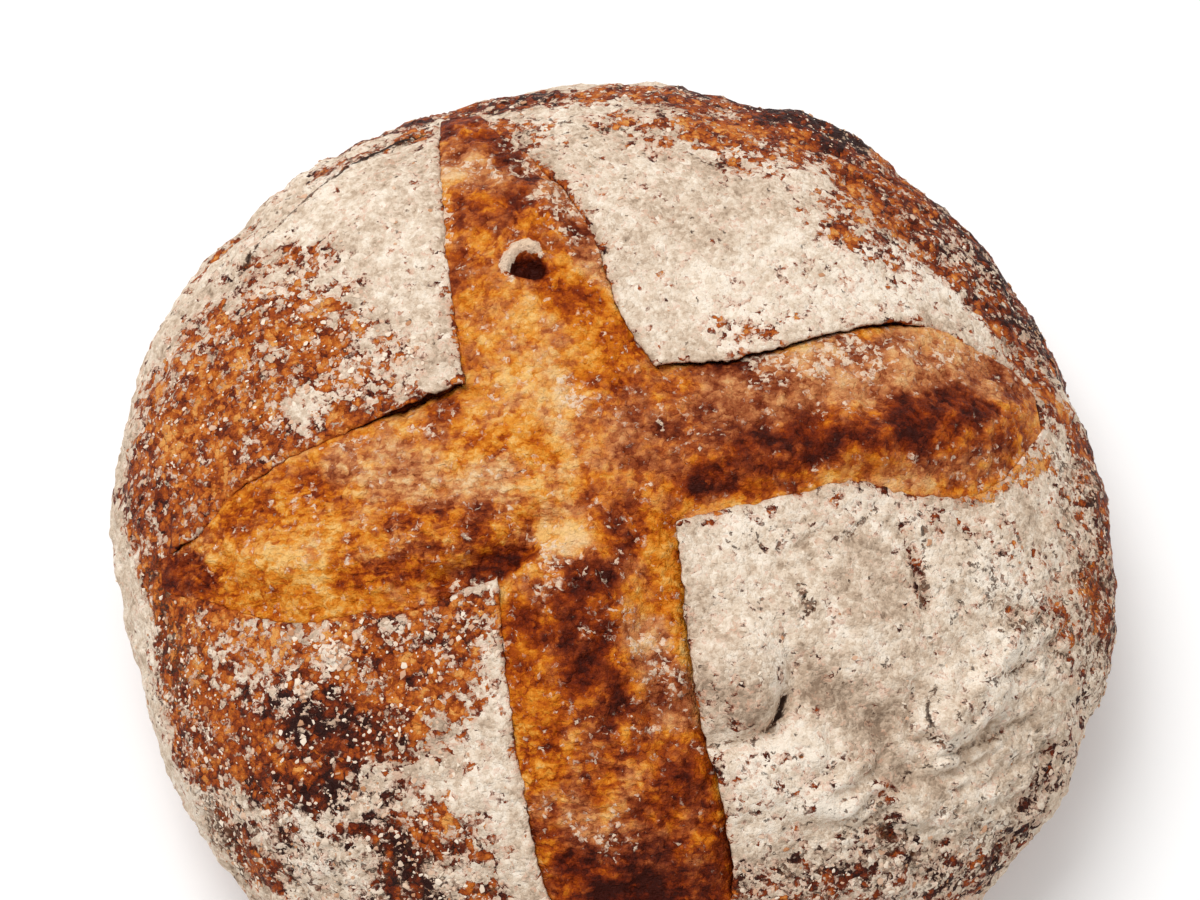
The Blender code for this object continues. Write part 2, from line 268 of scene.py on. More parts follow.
# Swellings, blisters and cracks of the flaps: start, end, half width, height.
FLAP_FORMS = (
    ((28, -42), (29, -51), 8.0, 1.6), ((41.5, -43), (39, -51), 2.4, -1.8), ((39, -51), (36.5, -58), 1.8, -3.0),
    ((36.5, -58), (28, -62.5), 1.8, -1.4), ((28, -62.5), (20, -62), 2.2, -1.4),
    ((47, -49), (60, -54), 5.0, -1.9), ((60, -56), (67, -68), 4.0, -1.6), ((42, -62), (45, -63), 3.8, 1.7),
    ((52, -64), (53, -63), 3.4, 1.8), ((57.5, -60), (57, -64), 2.6, 1.6), ((49.5, -59), (50, -66), 1.8, -0.8),
    ((90, -39), (96, -33), 3.0, 1.0), ((82, -61), (92, -51), 1.8, -1.0), ((70, -59), (80, -58.5), 1.4, -2.0), ((67.8, -58), (68.5, -46), 1.3, -2.0),
    ((60.5, -7), (52.5, -14.5), 1.1, -0.8), ((84, -45), (98, -40), 1.6, -1.2), ((80, -62), (100, -52), 1.4, -1.0),
    ((72, -68), (92, -62), 1.4, -1.0), ((62, -76), (84, -74), 1.4, -0.9), ((90, -26), (106, -36), 2.0, -1.0),
    ((42, -17), (49, -11), 1.1, -0.6), ((66, -11), (71, -28), 1.6, -0.9), ((38, -20), (43, -31), 1.4, -0.8),
    ((24, -26), (60, -34), 6.0, 0.8), ((30, -75), (52, -72), 5.0, 1.2), ((66, -76), (92, -70), 5.0, 0.9),
    ((84, -18), (104, -30), 5.0, 0.8), ((-101, 70), (-76, 90), 1.8, -1.4), ((-88, 66), (-64, 82), 6.0, 0.9),
    ((-62, -41), (-60, -42), 2.8, 1.2), ((-70, -49), (-69, -49), 2.2, 1.0), ((-66, -55), (-56, -58), 4.0, -0.8),
    ((-80, -70), (-60, -78), 6.0, 0.8), ((-46, -62), (-40, -86), 4.0, -0.7), ((20, 88), (34, 82), 1.2, -0.6),
    ((60, 82), (84, 62), 5.0, -0.7), ((40, 70), (60, 62), 9.0, 0.9), ((-66, 60), (-52, 76), 6.0, 0.8),
)
ROUGH_PATCHES = (((60, -50), (90, -40), 50, 0.35), ((-70, -80), (-40, -85), 25, 0.4), ((-100, 20), (-60, 34), 20, 0.3),
                 ((60, 96), (104, 50), 12, 0.5))

# Raised blisters with steep sides, and the places where the skin dried into slanting wrinkles.
BLISTERS = (((28, -46), (30, -49), 9.3, 3.6), ((77, -55), (87, -45), 4.4, 3.6), ((-63, -40), (-60, -43), 3.0, 0.8),
            ((30, -66), (34, -69), 5.0, 1.0), ((93, -36), (97, -33), 4.0, 1.0))
WRINKLED = (((62, -72), (98, -62), 15, 3.6), ((84, -42), (102, -30), 10, 2.4), ((44, -14), (64, -14), 9, 1.6),
            ((-90, 66), (-60, 88), 12, 1.0), ((-70, -78), (-50, -84), 12, 1.2), ((30, -74), (50, -76), 8, 1.4))

# The rows below the sheet let the crust down to the sole's rim, and the last rows close the sole.
SIDE_ROWS = 36
SOLE_ROWS = (0.95, 0.84, 0.66, 0.42, 0.2)
loop = np.concatenate([np.stack([x[:-1, 0], y[:-1, 0]]), np.stack([x[-1, :-1], y[-1, :-1]]),
                       np.stack([x[:0:-1, -1], y[:0:-1, -1]]), np.stack([x[0, :0:-1], y[0, :0:-1]])], 1)
reach = CRUST_LENGTH / np.hypot(*loop)
down = np.arange(1, SIDE_ROWS + 1) / SIDE_ROWS
skirt = loop[:, None, :] * (1 + down[None, :, None] * (reach[None, None, :] - 1))

crust_x = np.concatenate([x.ravel(), skirt[0].ravel()])
crust_y = np.concatenate([y.ravel(), skirt[1].ravel()])
fall = np.concatenate([np.tile(depth, (len(lines), 1)).T.ravel(), np.zeros(skirt[0].size)])
fall_row = np.concatenate([np.tile(depth, (len(lines), 1)).ravel(), np.zeros(skirt[0].size)])



def flap_forms(x, y, plain):
    """The height of the flaps' swellings, blisters and slanting wrinkles."""
    forms = sum(bank(x, y, *form) for form in FLAP_FORMS) + patch(x, y, BLISTERS)
    slant = math.radians(26)
    slanted = np.stack([(x * math.cos(slant) + y * math.sin(slant)) / 14,
                        (y * math.cos(slant) - x * math.sin(slant)) / 4.2, plain[..., 2] / 16], -1)
    return forms + patch(x, y, WRINKLED) * (np.abs(grain(slanted, 1, 2, 28)) - 0.25)


def crust_relief(x, y):
    """How far the crust's lips, blisters, creases and swellings stand out of the plain loaf."""
    plain = plain_loaf(x, y)
    long_out, cross_out, open_long, open_cross, by_cut = cross_edges(x, y)
    lip_long, lip_cross = by_cut(LIP_RISE)
    off_long, off_cross = np.clip(long_out, 0, None), np.clip(cross_out, 0, None)
    lip = np.maximum(lip_long * np.exp(-off_long / 4), lip_cross * np.exp(-off_cross / 4))
    curl = 0.8 * np.maximum(open_long * np.exp(-off_long / 0.7), open_cross * np.exp(-off_cross / 0.7))
    rough = 0.5 + patch(x, y, ROUGH_PATCHES) + 0.5 * smooth_step(100, 130, np.hypot(x, y))
    blisters = rough * (1.1 * grain(plain, 13, 3, 1) + 0.7 * grain(plain, 5, 3, 2)) + 0.22 * grain(plain, 2, 2, 3)
    wide = np.clip(1 - np.abs(grain(plain, 15, 2, 4)) / 0.1, 0, 1) * smooth_step(-0.1, 0.3, grain(plain, 22, 1, 5))
    narrow = np.clip(1 - np.abs(grain(plain, 7, 2, 24)) / 0.12, 0, 1) * smooth_step(0, 0.4, grain(plain, 17, 1, 25))
    return lip - curl + blisters - rough * (0.8 * wide + 0.5 * narrow) + flap_forms(x, y, plain)


relief = crust_relief(crust_x, crust_y)
long_out, cross_out, open_long, open_cross, by_cut = cross_edges(crust_x, crust_y)
sunk = np.maximum(fall * open_long, fall_row * open_cross)
crust_points = set_on_loaf(crust_x, crust_y, relief - sunk)

rim = crust_points[-len(loop[0]):].copy()
rim[:, 2] = 0
crust_points[-len(loop[0]):] = rim
middle = rim.mean(0)
sole_rows = np.concatenate([middle + (rim - middle) * share for share in SOLE_ROWS])
crust_points = np.concatenate([crust_points, sole_rows, middle[None]])

n = len(lines)
sheet_ids = np.arange(n * n).reshape(n, n)
loop_ids = np.concatenate([sheet_ids[:-1, 0], sheet_ids[-1, :-1], sheet_ids[:0:-1, -1], sheet_ids[0, :0:-1]])
row_ids = n * n + np.arange((SIDE_ROWS + len(SOLE_ROWS)) * len(loop_ids)).reshape(-1, len(loop_ids))
rows = np.concatenate([loop_ids[None], row_ids])


def lattice_faces(ids):
    """Quads between neighbouring lines of a table of corner numbers."""
    return np.stack([ids[:-1, :-1], ids[1:, :-1], ids[1:, 1:], ids[:-1, 1:]], -1).reshape(-1, 4)


wrapped = np.concatenate([rows, rows[:, :1]], 1)
around = lattice_faces(wrapped)
last = len(crust_points) - 1
fan = [(last, int(q), int(p)) for p, q in zip(wrapped[-1, :-1], wrapped[-1, 1:])]
crust_faces = lattice_faces(sheet_ids).tolist() + around.tolist() + fan


def make_piece(name, points, faces, **masks):
    """A smooth-shaded piece with its masks kept on its corners."""
    data = bpy.data.meshes.new(name)
    data.from_pydata(points.tolist(), [], faces)
    data.shade_smooth()
    for mask, values in masks.items():
        data.attributes.new(mask, "FLOAT", "POINT").data.foreach_set(
            "value", np.resize(values, len(points)).astype(np.float32))
    piece = bpy.data.objects.new(name, data)
    bpy.context.scene.collection.objects.link(piece)
    return piece


# Where flour lies thick (1) or was brushed and baked off (0), and where the crust baked darker.
FLOUR_PATCHES = (
    ((-104, 22), (-68, 34), 16, -0.5), ((-113, 4), (-94, 24), 9, -0.25), ((-76, 48), (-56, 30), 8, -0.3),
    ((-83, 9), (-41, 19), 4, -0.05), ((-122, 8), (-108, -9), 8, -0.5), ((-88, 18), (-52, 30), 6, -0.1), ((-118, -18), (-108, -26), 5, -0.4),
    ((-97, -3), (-60, 15), 5, -0.42), ((-62, 15), (-42, 22), 5, -0.2), ((-104, -4), (-84, 10), 7, -0.3),
    ((-68, 19), (-55, 29), 6, 0.34), ((-86, 58), (-78, 62), 5, -0.3), ((-92, 47), (-84, 52), 5, -0.25),
    ((-74, 91), (-52, 99), 5, -0.2), ((-2, 97), (4, 100), 4, -0.3), ((12, 104), (26, 104), 6, 0.25),
    ((57, 73), (71, 57), 7, -0.36), ((30, 83), (54, 87), 5, -0.25),
    ((-52, -49), (-37, -53), 7, -0.5), ((-58, -71), (-44, -70), 6, 0.3), ((-84, -70), (-68, -71), 5, -0.45),
    ((-110, -26), (-104, -50), 5, -0.34), ((-114, -24), (-110, -52), 5, -0.22), ((-119, -6), (-117, -16), 4, -0.25), ((-118, -18), (-117, -30), 3, 0.3), ((-90, -84), (-84, -92), 5, -0.3),
    ((-30, -30), (-24, -31), 3.5, -0.3), ((-33, -38), (-28, -50), 3, -0.3), ((46, -94), (58, -94), 6, -0.2),
    ((82, -92), (94, -94), 8, -0.25), ((22, -52), (28, -58), 5, -0.16),
    ((-80, 50), (-70, 46), 5, 0.14), ((-108, 66), (-84, 96), 4, -0.18), ((-18, 101), (-6, 98), 5, 0.12),
    ((-92, -42), (-84, -46), 7, 0.08), ((26, 102), (46, 100), 7, -0.15),
    ((-100, 72), (-72, 90), 1.6, -0.35), ((-110, 56), (-100, 72), 1.6, -0.3), ((-72, 90), (-52, 98), 2, -0.25),
    ((-78, 108), (-48, 114), 7, -0.65), ((-52, 116), (-20, 116), 7, -0.7), ((-50, 104), (-46, 98), 3, -0.3),
    ((-38, 60), (-33, 24), 3, -0.12), ((-114, 30), (-96, 60), 5, -0.15),
    ((-6, 117), (24, 114), 7, -0.5), ((18, 105), (58, 104), 12, -0.6), ((54, 104), (78, 85), 12, -0.56),
    ((74, 85), (112, 51), 13, -0.54), ((30, 126), (88, 108), 12, -0.9), ((88, 108), (128, 60), 12, -0.9),
    ((128, 60), (136, 24), 8, -0.6), ((6, 91), (14, 88), 4, -0.25), ((-37, 104), (-14, 92), 4, -0.3),
    ((24, 96), (50, 92), 6, -0.2), ((62, 78), (84, 62), 6, -0.3), ((88, 58), (104, 46), 5, -0.2),
    ((-20, 90), (-2, 52), 2.5, -0.2), ((100, 40), (110, 26), 5, -0.3),
    ((128, 14), (133, -38), 9, -0.52), ((118, -17), (122, -27), 4, -0.35), ((110, 8), (118, -34), 10, -0.2), ((120, -50), (100, -86), 8, -0.28),
    ((34, -96), (74, -92), 8, -0.16), ((52, -84), (62, -81), 3, -0.15), ((30, -70), (60, -78), 7, -0.1),
    ((66, -11), (71, -28), 1.8, -0.45), ((76, -6), (98, -13), 6, -0.22), ((36, -14), (50, -10), 5, -0.08),
    ((39, -92), (28, -98), 8, -0.2),
    ((-100, -40), (-34, -38), 10, -0.56), ((-100, -58), (-52, -64), 10, -0.56), ((-47, -83), (-43, -98), 4.5, -0.42), ((-52, -78), (-38, -80), 5, -0.4), ((-38, -82), (-30, -82), 5, -0.15),
    ((-33, -92), (-25, -97), 4, -0.2), ((-63, -77), (-56, -78), 4, -0.15), ((108, 28), (116, 16), 6, -0.1), ((-60, -76), (-57, -78), 3, -0.15), ((-90, 68), (-86, 70), 4, -0.12),
    ((50, 67), (56, 64), 5, -0.25), ((42, 107), (60, 101), 6, -0.1), ((26, 36), (40, 38), 4, -0.2),
    ((64, -74), (72, -84), 6, -0.22), ((82, -92), (94, -95), 8, -0.12), ((-36, -82), (-28, -86), 5, -0.14),
    ((-46, -71), (-40, -74), 4, -0.25), ((-88, 36), (-84, 44), 5, -0.2), ((32, 83), (44, 86), 5, -0.14),
    ((-74, 66), (-70, 70), 5, 0.2), ((-58, 36), (-54, 42), 5, 0.16), ((57, -64), (64, -66), 4, -0.1),
    ((92, -18), (96, -30), 5, -0.12), ((-66, -87), (-60, -90), 5, 0.16), ((100, -6), (108, -14), 5, 0.15), ((-76, 61), (-68, 62), 4, -0.25), ((75, 57), (80, 54), 5, 0.2),
    ((-90, -84), (-50, -90), 10, -0.18), ((-84, -33), (-30, -26.5), 2.2, 0.4), ((-112, -24), (-104, -60), 5, 0.1),
    ((-112, -24), (-96, -30), 5, -0.45), ((-104, -50), (-96, -80), 5, -0.2), ((-64, -80), (-40, -100), 12, -0.1),
    ((-64, -40.5), (-60, -42.5), 1.6, 0.4), ((-71, -48), (-69, -50), 1.4, 0.4), ((-24, -34), (-18, -96), 4.0, 0.1),
    ((-66, -53), (-60, -60), 7, -0.3), ((-88, -62), (-78, -66), 8, -0.15), ((-38, -56), (-38, -84), 8, -0.12),
    ((-52, -24), (-30, -36), 5, -0.1), ((84, -3), (107, 12), 2.2, -0.45), ((13, -14), (50, -6), 1.2, -0.1),
    ((-114, -22), (-106, -46), 5, -0.28), ((-119, -18), (-112, -62), 6, -0.12), ((98, -28), (106, -32), 5, -0.1), ((112, 34), (122, 24), 5, -0.35),
    ((-39, -86), (-36, -89), 4, 0.25), ((-55, -75), (-52, -78), 3.5, 0.2), ((-48, -76), (-46, -79), 3, -0.1),
    ((-71, -76), (-69, -78), 3, 0.28), ((-33, -92), (-25, -94), 4, -0.2), ((-119, -8), (-117, -17), 4, -0.2),
    ((50, -91), (53, -94), 4, -0.2), ((-79, -75), (-75, -78), 4, -0.15), ((-102, 44), (-97, 45), 5, -0.25), ((-23, 101), (-16, 100), 4, -0.25),
    ((113, 17), (116, 12), 4, 0.2), ((-49, 95), (-45, 96), 4, -0.2), ((-43, 21), (-41, 22), 3, 0.2),
    ((-62, 29), (-57, 30), 4, 0.15), ((84, -75), (89, -77), 4, 0.15), ((-54, -34), (-50, -35), 3.5, 0.26),
    ((-3, 112), (5, 112), 4, -0.2), ((124, -38), (128, -50), 6, 0.15), ((86, -17), (98, -21), 5, 0.15),
    ((64, -79), (67, -82), 4, -0.12), ((74, -88), (78, -90), 4, 0.15), ((108, -82), (113, -86), 6, -0.15), ((-14, 112), (-8, 113), 4, -0.15),
    ((-48, -55), (-45, -57), 3.5, -0.2), ((32, 33), (36, 34), 2.5, -0.2), ((-32, -86), (-30, -88), 3, 0.15),
    ((-69, 43), (-64, 43), 3.5, 0.12), ((-84, 7), (-81, 8), 3, 0.15), ((64, -11), (68, -12), 3, 0.15), ((43, -92), (46, -93), 3.5, 0.2), ((-47, -70), (-46, -73), 3, 0.15),
    ((104, -24), (112, -28), 5, -0.15), ((-103, 4), (-99, 4), 4, -0.2), ((68, -92), (72, -95), 4, -0.05), ((126, -14), (128, -22), 5, 0.12), ((86, 74), (90, 70), 5, 0.15), ((-89, -92), (-85, -94), 4, -0.15),
    ((-105, -50), (-102, -58), 4, 0.22), ((114, 32), (122, 24), 5, -0.2), ((126, -42), (130, -54), 6, 0.2), ((-65, -44), (-62, -45), 3, 0.15),
    ((-37, -56), (-35, -57), 3, 0.2), ((-112, -22), (-108, -28), 4, -0.2), ((29, 94), (33, 92), 4, -0.15),
    ((52, 64), (55, 61), 4, -0.2), ((-63, 42), (-59, 42), 3.5, 0.15), ((78, 64), (81, 61), 4, 0.15), ((-56, 27), (-46, 29), 3.5, -0.15), ((-72, -33), (-66, -33), 3.5, 0.38),
    ((42, -8), (46, -7), 3, 0.12), ((-70, 64), (-66, 66), 3.5, 0.18), ((-1, 98), (3, 99), 4, -0.15),
    ((-39, 58), (-39, 70), 2, 0.3), ((78, -76), (90, -76), 5, 0.15), ((79, 46), (85, 45), 5, -0.08), ((-72, 56), (-64, 58), 4.5, -0.25),
    ((40, 108), (60, 100), 6, -0.3), ((-97, 2), (-90, 6), 4, -0.3), ((-27, -80), (-24, -84), 4, -0.22),
    ((-54, 20), (-47, 22), 3.5, -0.2), ((50, -76), (84, -77), 4, 0.15), ((-90, -86), (-82, -90), 5, -0.25),
    ((80, -3), (88, -5), 3, 0.25), ((-28, -29), (-24, -31), 3, -0.2), ((48, 53), (56, 56), 5, -0.1),
    ((-33, -33), (-29, -37), 3.5, 0.25),
)
BAKE_PATCHES = (
    ((20, 112), (60, 108), 9, 0.12), ((56, 104), (112, 52), 9, 0.15), ((30, 128), (88, 110), 12, 0.32),
    ((88, 110), (136, 30), 12, 0.32), ((128, 14), (133, -36), 9, 0.22), ((-78, 108), (-20, 117), 8, 0.28),
    ((-71, -51), (-57, -58), 6, 0.36), ((-61, -68), (-50, -76), 5, 0.22), ((-98, -58), (-53, -67), 10, 0.12), ((-50, -38), (-40, -40), 8, 0.1),
    ((-46, -87), (-44, -97), 5, 0.28), ((-84, -70), (-66, -71), 5, 0.28), ((42, 109), (60, 100), 7, 0.28), ((-113, -20), (-109, -28), 4, 0.15), ((46, -24), (92, -70), 30, 0.26), ((-86, -85), (-40, -92), 10, 0.2), ((38, -93), (70, -86), 10, 0.25),
    ((-104, 22), (-66, 34), 14, -0.06), ((-122, 8), (-106, -7), 6, 0.17), ((-103, 4), (-99, 4), 4, 0.12), ((-106, 22), (-101, 22), 4, 0.1), ((120, -50), (100, -86), 8, 0.15),
    ((-52, -76), (-48, -84), 6, 0.1), ((-50, -49), (-38, -52), 8, -0.06), ((-94, -40), (-64, -38), 8, -0.1), ((84, -3), (107, 12), 3.5, -0.35),
    ((13, -14), (50, -6), 2.5, -0.25), ((74, 80), (110, 50), 8, 0.05), ((88, 57), (93, 54), 5, 0.12), ((-77, -54), (-73, -55), 4, 0.12), ((-71, -59), (-68, -61), 4, 0.14), ((-54, -55), (-51, -57), 4, -0.14),
    ((-48, -44), (-45, -46), 4, 0.1), ((-48, -50), (-46, -57), 5, 0.15),
)
PIT_PATCHES = (
    ((120, 8), (126, -40), 13, 0.6), ((70, -8), (104, -16), 9, 0.3), ((70, -40), (100, -66), 17, 0.2),
    ((36, -94), (96, -85), 11, 0.5), ((-90, -85), (-40, -95), 16, 0.5), ((-36, 108), (-5, 94), 10, 0.35),
    ((30, -16), (50, -12), 6, 0.35), ((-100, 72), (-52, 98), 5, 0.5), ((-112, 60), (-84, 20), 8, 0.25),
    ((22, -66), (60, -74), 8, 0.3), ((-108, -20), (-100, -80), 8, 0.4), ((-118, -12), (-113, -44), 8, 0.35), ((5, 75), (60, 88), 16, 0.1),
    ((36, -30), (44, -34), 4, 0.4), ((62, -79), (68, -83), 5, 0.15), ((84, -24), (100, -36), 8, 0.35), ((92, -24), (108, -32), 7, 0.25),
)
# Where the flour lies thinner, and where it is painted greyer as shade in valleys and on the lower sides of swellings:
# start, end, half width, amount.
THIN_PATCHES = (
    ((18, -51), (29, -58), 5.5, 0.38), ((49, -50), (60, -54), 6, 0.22), ((42, -62), (55, -65), 5, -0.1), ((60, -56), (67, -68), 4, 0.2),
    ((23, -49), (33, -54), 5, 0.28), ((24, -41), (31, -46), 7, 0.2), ((50, -28), (57, -31), 5, 0.15),
    ((92, -63), (96, -65), 4, 0.2), ((-60, 79), (-55, 79), 4, 0.2), ((52, -66), (57, -65), 3.5, 0.3), ((16, 84), (22, 83), 4, 0.25), ((30, -12), (36, -15), 5, -0.2), ((28, -62), (38, -63), 4, -0.3), ((92, -30), (106, -30), 6, 0.06), ((37, -44), (40, -47), 4, -0.2), ((79, 46), (85, 45), 5, 0.2),
    ((48, 53), (56, 56), 5, 0.15), ((76, -55), (86, -45), 5, 0.15),
    ((10, 66), (40, 62), 14, 0.06), ((78, -53), (80, -51), 3, 0.2),
    ((44, -34), (50, -38), 10, 0.06),
    ((56, -22), (66, -28), 7, 0.2), ((30, 44), (80, 56), 12, -0.25), ((20, -30), (24, -40), 5, 0.05),
    ((86, -18), (98, -22), 6, -0.2), ((-55, 86), (-49, 87), 5, 0.2), ((-80, 76), (-74, 77), 5, 0.2), ((74, -54), (84, -50), 5, 0.12), ((70, -58), (92, -40), 10, -0.15),
)
SCRUBBED_PATCHES = (((-90, -62), (-56, -66), 9, 0.14), ((-104, 20), (-92, 12), 9, 0.1), ((-56, -34), (-38, -42), 8, 0.1),
                    ((26, 104), (50, 103), 8, 0.1), ((40, 109), (60, 99), 6, 0.14), ((-90, -36), (-84, -38), 5, 0.12), ((-48, -55), (-45, -57), 5, 0.12), ((-84, -43), (-79, -44), 5, 0.1), ((-71, -59), (-68, -61), 4, 0.08), ((-113, -20), (-109, -28), 4, 0.1),
                    ((110, 32), (122, 26), 6, 0.1))
RUBBED_PATCHES = (
    ((-14, 92), (-2, 56), 7, 0.3), ((-40, 70), (-34, 30), 7, 0.1), ((-31, -34), (-22, -60), 7, 0.3),
    ((-18, -66), (-8, -100), 7, 0.2), ((-100, -20), (-50, -30), 8, 0.3), ((60, 2), (106, 20), 8, 0.25),
    ((-100, 2), (-40, 14), 8, 0.15), ((12, 28), (60, 38), 8, -0.1), ((14, -14), (24, -90), 7, -0.12),
)
# Dark cracks and seams in the floured skin, some of them painted shadow along creases and beside swellings: start,
# end, half width, strength.
CRACKS = (
    ((39.3, -50.5), (37.2, -57), 1.5, 1.6), ((37.2, -57), (32.5, -60.5), 1.2, 1.1), ((32.5, -60.5), (21, -62.5), 1.1, 0.5),
    ((41.5, -25.5), (42.4, -28.6), 1.2, 1.2), ((42.4, -28.6), (45, -30), 1.2, 1.1), ((45, -30), (43.2, -32.4), 1.1, 1.1),
    ((73.5, -46.5), (71.2, -52), 1.0, 0.8), ((71.2, -52), (71.8, -57.5), 1.1, 0.95), ((71.8, -57.5), (77, -61), 1.2, 1.1),
    ((76.5, -52), (80, -57), 1.1, 0.55), ((70.8, -11), (70.4, -28.4), 1.3, 0.8), ((60.5, -7), (52.5, -14.5), 1.1, 0.7),
    ((-89, 58), (-84, 66), 1.6, 1.2), ((-84, 66), (-77, 74), 1.3, 0.95), ((-77, 74), (-72, 80), 1.4, 1.15),
    ((-72, 80), (-62, 90), 1.3, 0.9), ((-62, 90), (-55, 96), 1.4, 1.1), ((-55, 96), (-46, 100), 1.5, 0.95),
    ((66.9, -67.4), (82, -61), 1.1, 0.6), ((84, -60), (93, -55.5), 1.1, 0.6), ((74, -76), (92, -70), 1.1, 0.6),
    ((84, -45), (98, -40), 1.2, 0.6), ((19, 88), (24, 84), 1.2, 0.9), ((24, 84), (30, 84.5), 1.1, 0.9),
)


def line_marks(x, y, lines):
    """The strongest of the lines (start, end, half width, strength) that pass over each place."""
    most = np.zeros_like(x)
    for start, end, half_width, strength in lines:
        run = np.subtract(end, start)
        share = np.clip(((x - start[0]) * run[0] + (y - start[1]) * run[1]) / (run @ run), 0, 1)
        away = np.hypot(x - start[0] - share * run[0], y - start[1] - share * run[1])
        most = np.maximum(most, strength * np.clip(1 - away / half_width, 0, 1))
    return most


plain = plain_loaf(crust_x, crust_y)
drift = np.stack([grain(plain, 11, 3, 6), grain(plain, 11, 3, 7)]) * 4.5
away = np.hypot(crust_x, crust_y) / CRUST_LENGTH
flour = 0.92 + patch(crust_x, crust_y, FLOUR_PATCHES, drift) - 0.45 * smooth_step(0.74, 0.9, away)
flour = np.clip(flour, 0.29 - patch(crust_x, crust_y, SCRUBBED_PATCHES, drift), 0.98)
# The flour is rubbed off along the lips, most where hands and blade passed.
near_lip = np.maximum(open_long * np.exp(-np.clip(long_out, 0, None) / 1.5),
                      open_cross * np.exp(-np.clip(cross_out, 0, None) / 1.5))
rubbed = 0.24 + patch(crust_x, crust_y, RUBBED_PATCHES, drift) + 0.5 * grain(plain, 6, 2, 26)
flour = flour - np.clip(rubbed, 0, 0.7) * near_lip
bake = 0.48 + patch(crust_x, crust_y, BAKE_PATCHES, drift) + 0.12 * grain(plain, 9, 2, 8)
pits = 0.1 + patch(crust_x, crust_y, PIT_PATCHES, drift)
# Less flour lies in the hollows than on the swellings; the hollows and the valleys between swellings are also painted
# greyer, as painted shade.
thin = patch(crust_x, crust_y, THIN_PATCHES, drift) + 0.2 * near_lip
thin = thin - 0.11 * np.clip(flap_forms(crust_x, crust_y, plain), -3, 2) - 0.08 * grain(plain, 5, 3, 2)
# The torn walls under the lips took no flour, and they are painted very dark brown: painted shade in the crevices
# under the lips.
wall_like = np.clip((sunk - 0.3) / 0.8, 0, 1)
flour = np.clip(flour, 0.05, 0.98) * (1 - wall_like)
bake = bake + (0.92 - bake) * wall_like
# The crack lines, real cracks and painted shadow, darken the crust as pits do.
pits = (np.clip(pits, 0, 1) + line_marks(crust_x + 0.2 * drift[0], crust_y + 0.2 * drift[1], CRACKS)) * (1 - wall_like)

crust = make_piece("crust", crust_points, crust_faces, flour=flour, bake=bake, pits=pits, thin=thin)


def add(tree, kind, settings, inputs):
    """A new node with its settings, and its inputs linked or set."""
    made = tree.nodes.new(kind)
    for name, value in settings.items():
        setattr(made, name, value)
    for name, value in inputs.items():
        if isinstance(value, bpy.types.NodeSocket):
            tree.links.new(value, made.inputs[name])
        else:
            made.inputs[name].default_value = value
    return made


def srgb(code):
    """A colour written as sRGB hex, in linear light."""
    parts = [int(code[n:n + 2], 16) / 255 for n in (1, 3, 5)]
    return tuple(p / 12.92 if p <= 0.04045 else ((p + 0.055) / 1.055) ** 2.4 for p in parts) + (1.0,)


# Floured crust: gelatinised starch browned by the oven, under rice flour rubbed on before baking.
# The bare crust has a dull glaze; the flour on it is quite matt and hides the colour below.
finish = bpy.data.materials.new("floured_crust")
finish.use_nodes = True
tree = finish.node_tree
shader = tree.nodes["Principled BSDF"]
spot = add(tree, "ShaderNodeTexCoord", {}, {}).outputs["Object"]
masks = {name: add(tree, "ShaderNodeAttribute", {"attribute_name": name}, {}).outputs["Fac"]
         for name in ("flour", "bake", "pits", "thin")}
def ramp(tree, at, stops):
    """A colour read from a row of (place, colour) stops."""
    made = add(tree, "ShaderNodeValToRGB", {}, {"Fac": at})
    elements = made.color_ramp.elements
    elements[0].position, elements[1].position = stops[0][0], stops[-1][0]
    elements[0].color, elements[1].color = srgb(stops[0][1]), srgb(stops[-1][1])
    for place, code in stops[1:-1]:
        elements.new(place).color = srgb(code)
    return made.outputs["Color"]


def mixed(tree, start, noises):
    """start plus each noise, centred on nought, times its share."""
    total = start
    for value, share in noises:
        centred = add(tree, "ShaderNodeMath", {"operation": "SUBTRACT"}, {0: value, 1: 0.5}).outputs[0]
        total = add(tree, "ShaderNodeMath", {"operation": "MULTIPLY_ADD"}, {0: centred, 1: share, 2: total}).outputs[0]
    return total


def noise_at(tree, vector, size, detail=3.0, roughness=0.6):
    """Noise whose lumps measure size millimetres."""
    return add(tree, "ShaderNodeTexNoise", {}, {"Vector": vector, "Scale": 1 / (size * MM), "Detail": detail,
                                                "Roughness": roughness})


def maths(tree, operation, *values):
    return add(tree, "ShaderNodeMath", {"operation": operation}, dict(enumerate(values))).outputs[0]


def fade(tree, value, start, end, low=0.0, high=1.0):
    """A soft step from low to high as value goes from start to end."""
    return add(tree, "ShaderNodeMapRange", {"interpolation_type": "SMOOTHSTEP"},
               {"Value": value, "From Min": start, "From Max": end, "To Min": low, "To Max": high}).outputs["Result"]


def blend(tree, share, first, second):
    return add(tree, "ShaderNodeMix", {"data_type": "RGBA"}, {"Factor": share, "A": first, "B": second}).outputs["Result"]


def grains(tree, vector, size):
    """Close-packed grains: the distance from each grain's middle, and three chance values per grain."""
    cells = add(tree, "ShaderNodeTexVoronoi", {}, {"Vector": vector, "Scale": 1 / (size * MM)})
    chance = add(tree, "ShaderNodeSeparateColor", {}, {"Color": cells.outputs["Color"]})
    return cells.outputs["Distance"], *chance.outputs


def ruffled(tree, vector, size, amount):
    """The same places shifted about, so that patterns read there lose their straight sides."""
    push = add(tree, "ShaderNodeVectorMath", {"operation": "SUBTRACT"},
               {0: noise_at(tree, vector, size, 2.0).outputs["Color"], 1: (0.5, 0.5, 0.5)}).outputs[0]
    return add(tree, "ShaderNodeVectorMath", {"operation": "MULTIPLY_ADD"},
               {0: push, 1: (amount * MM,) * 3, 2: vector}).outputs[0]


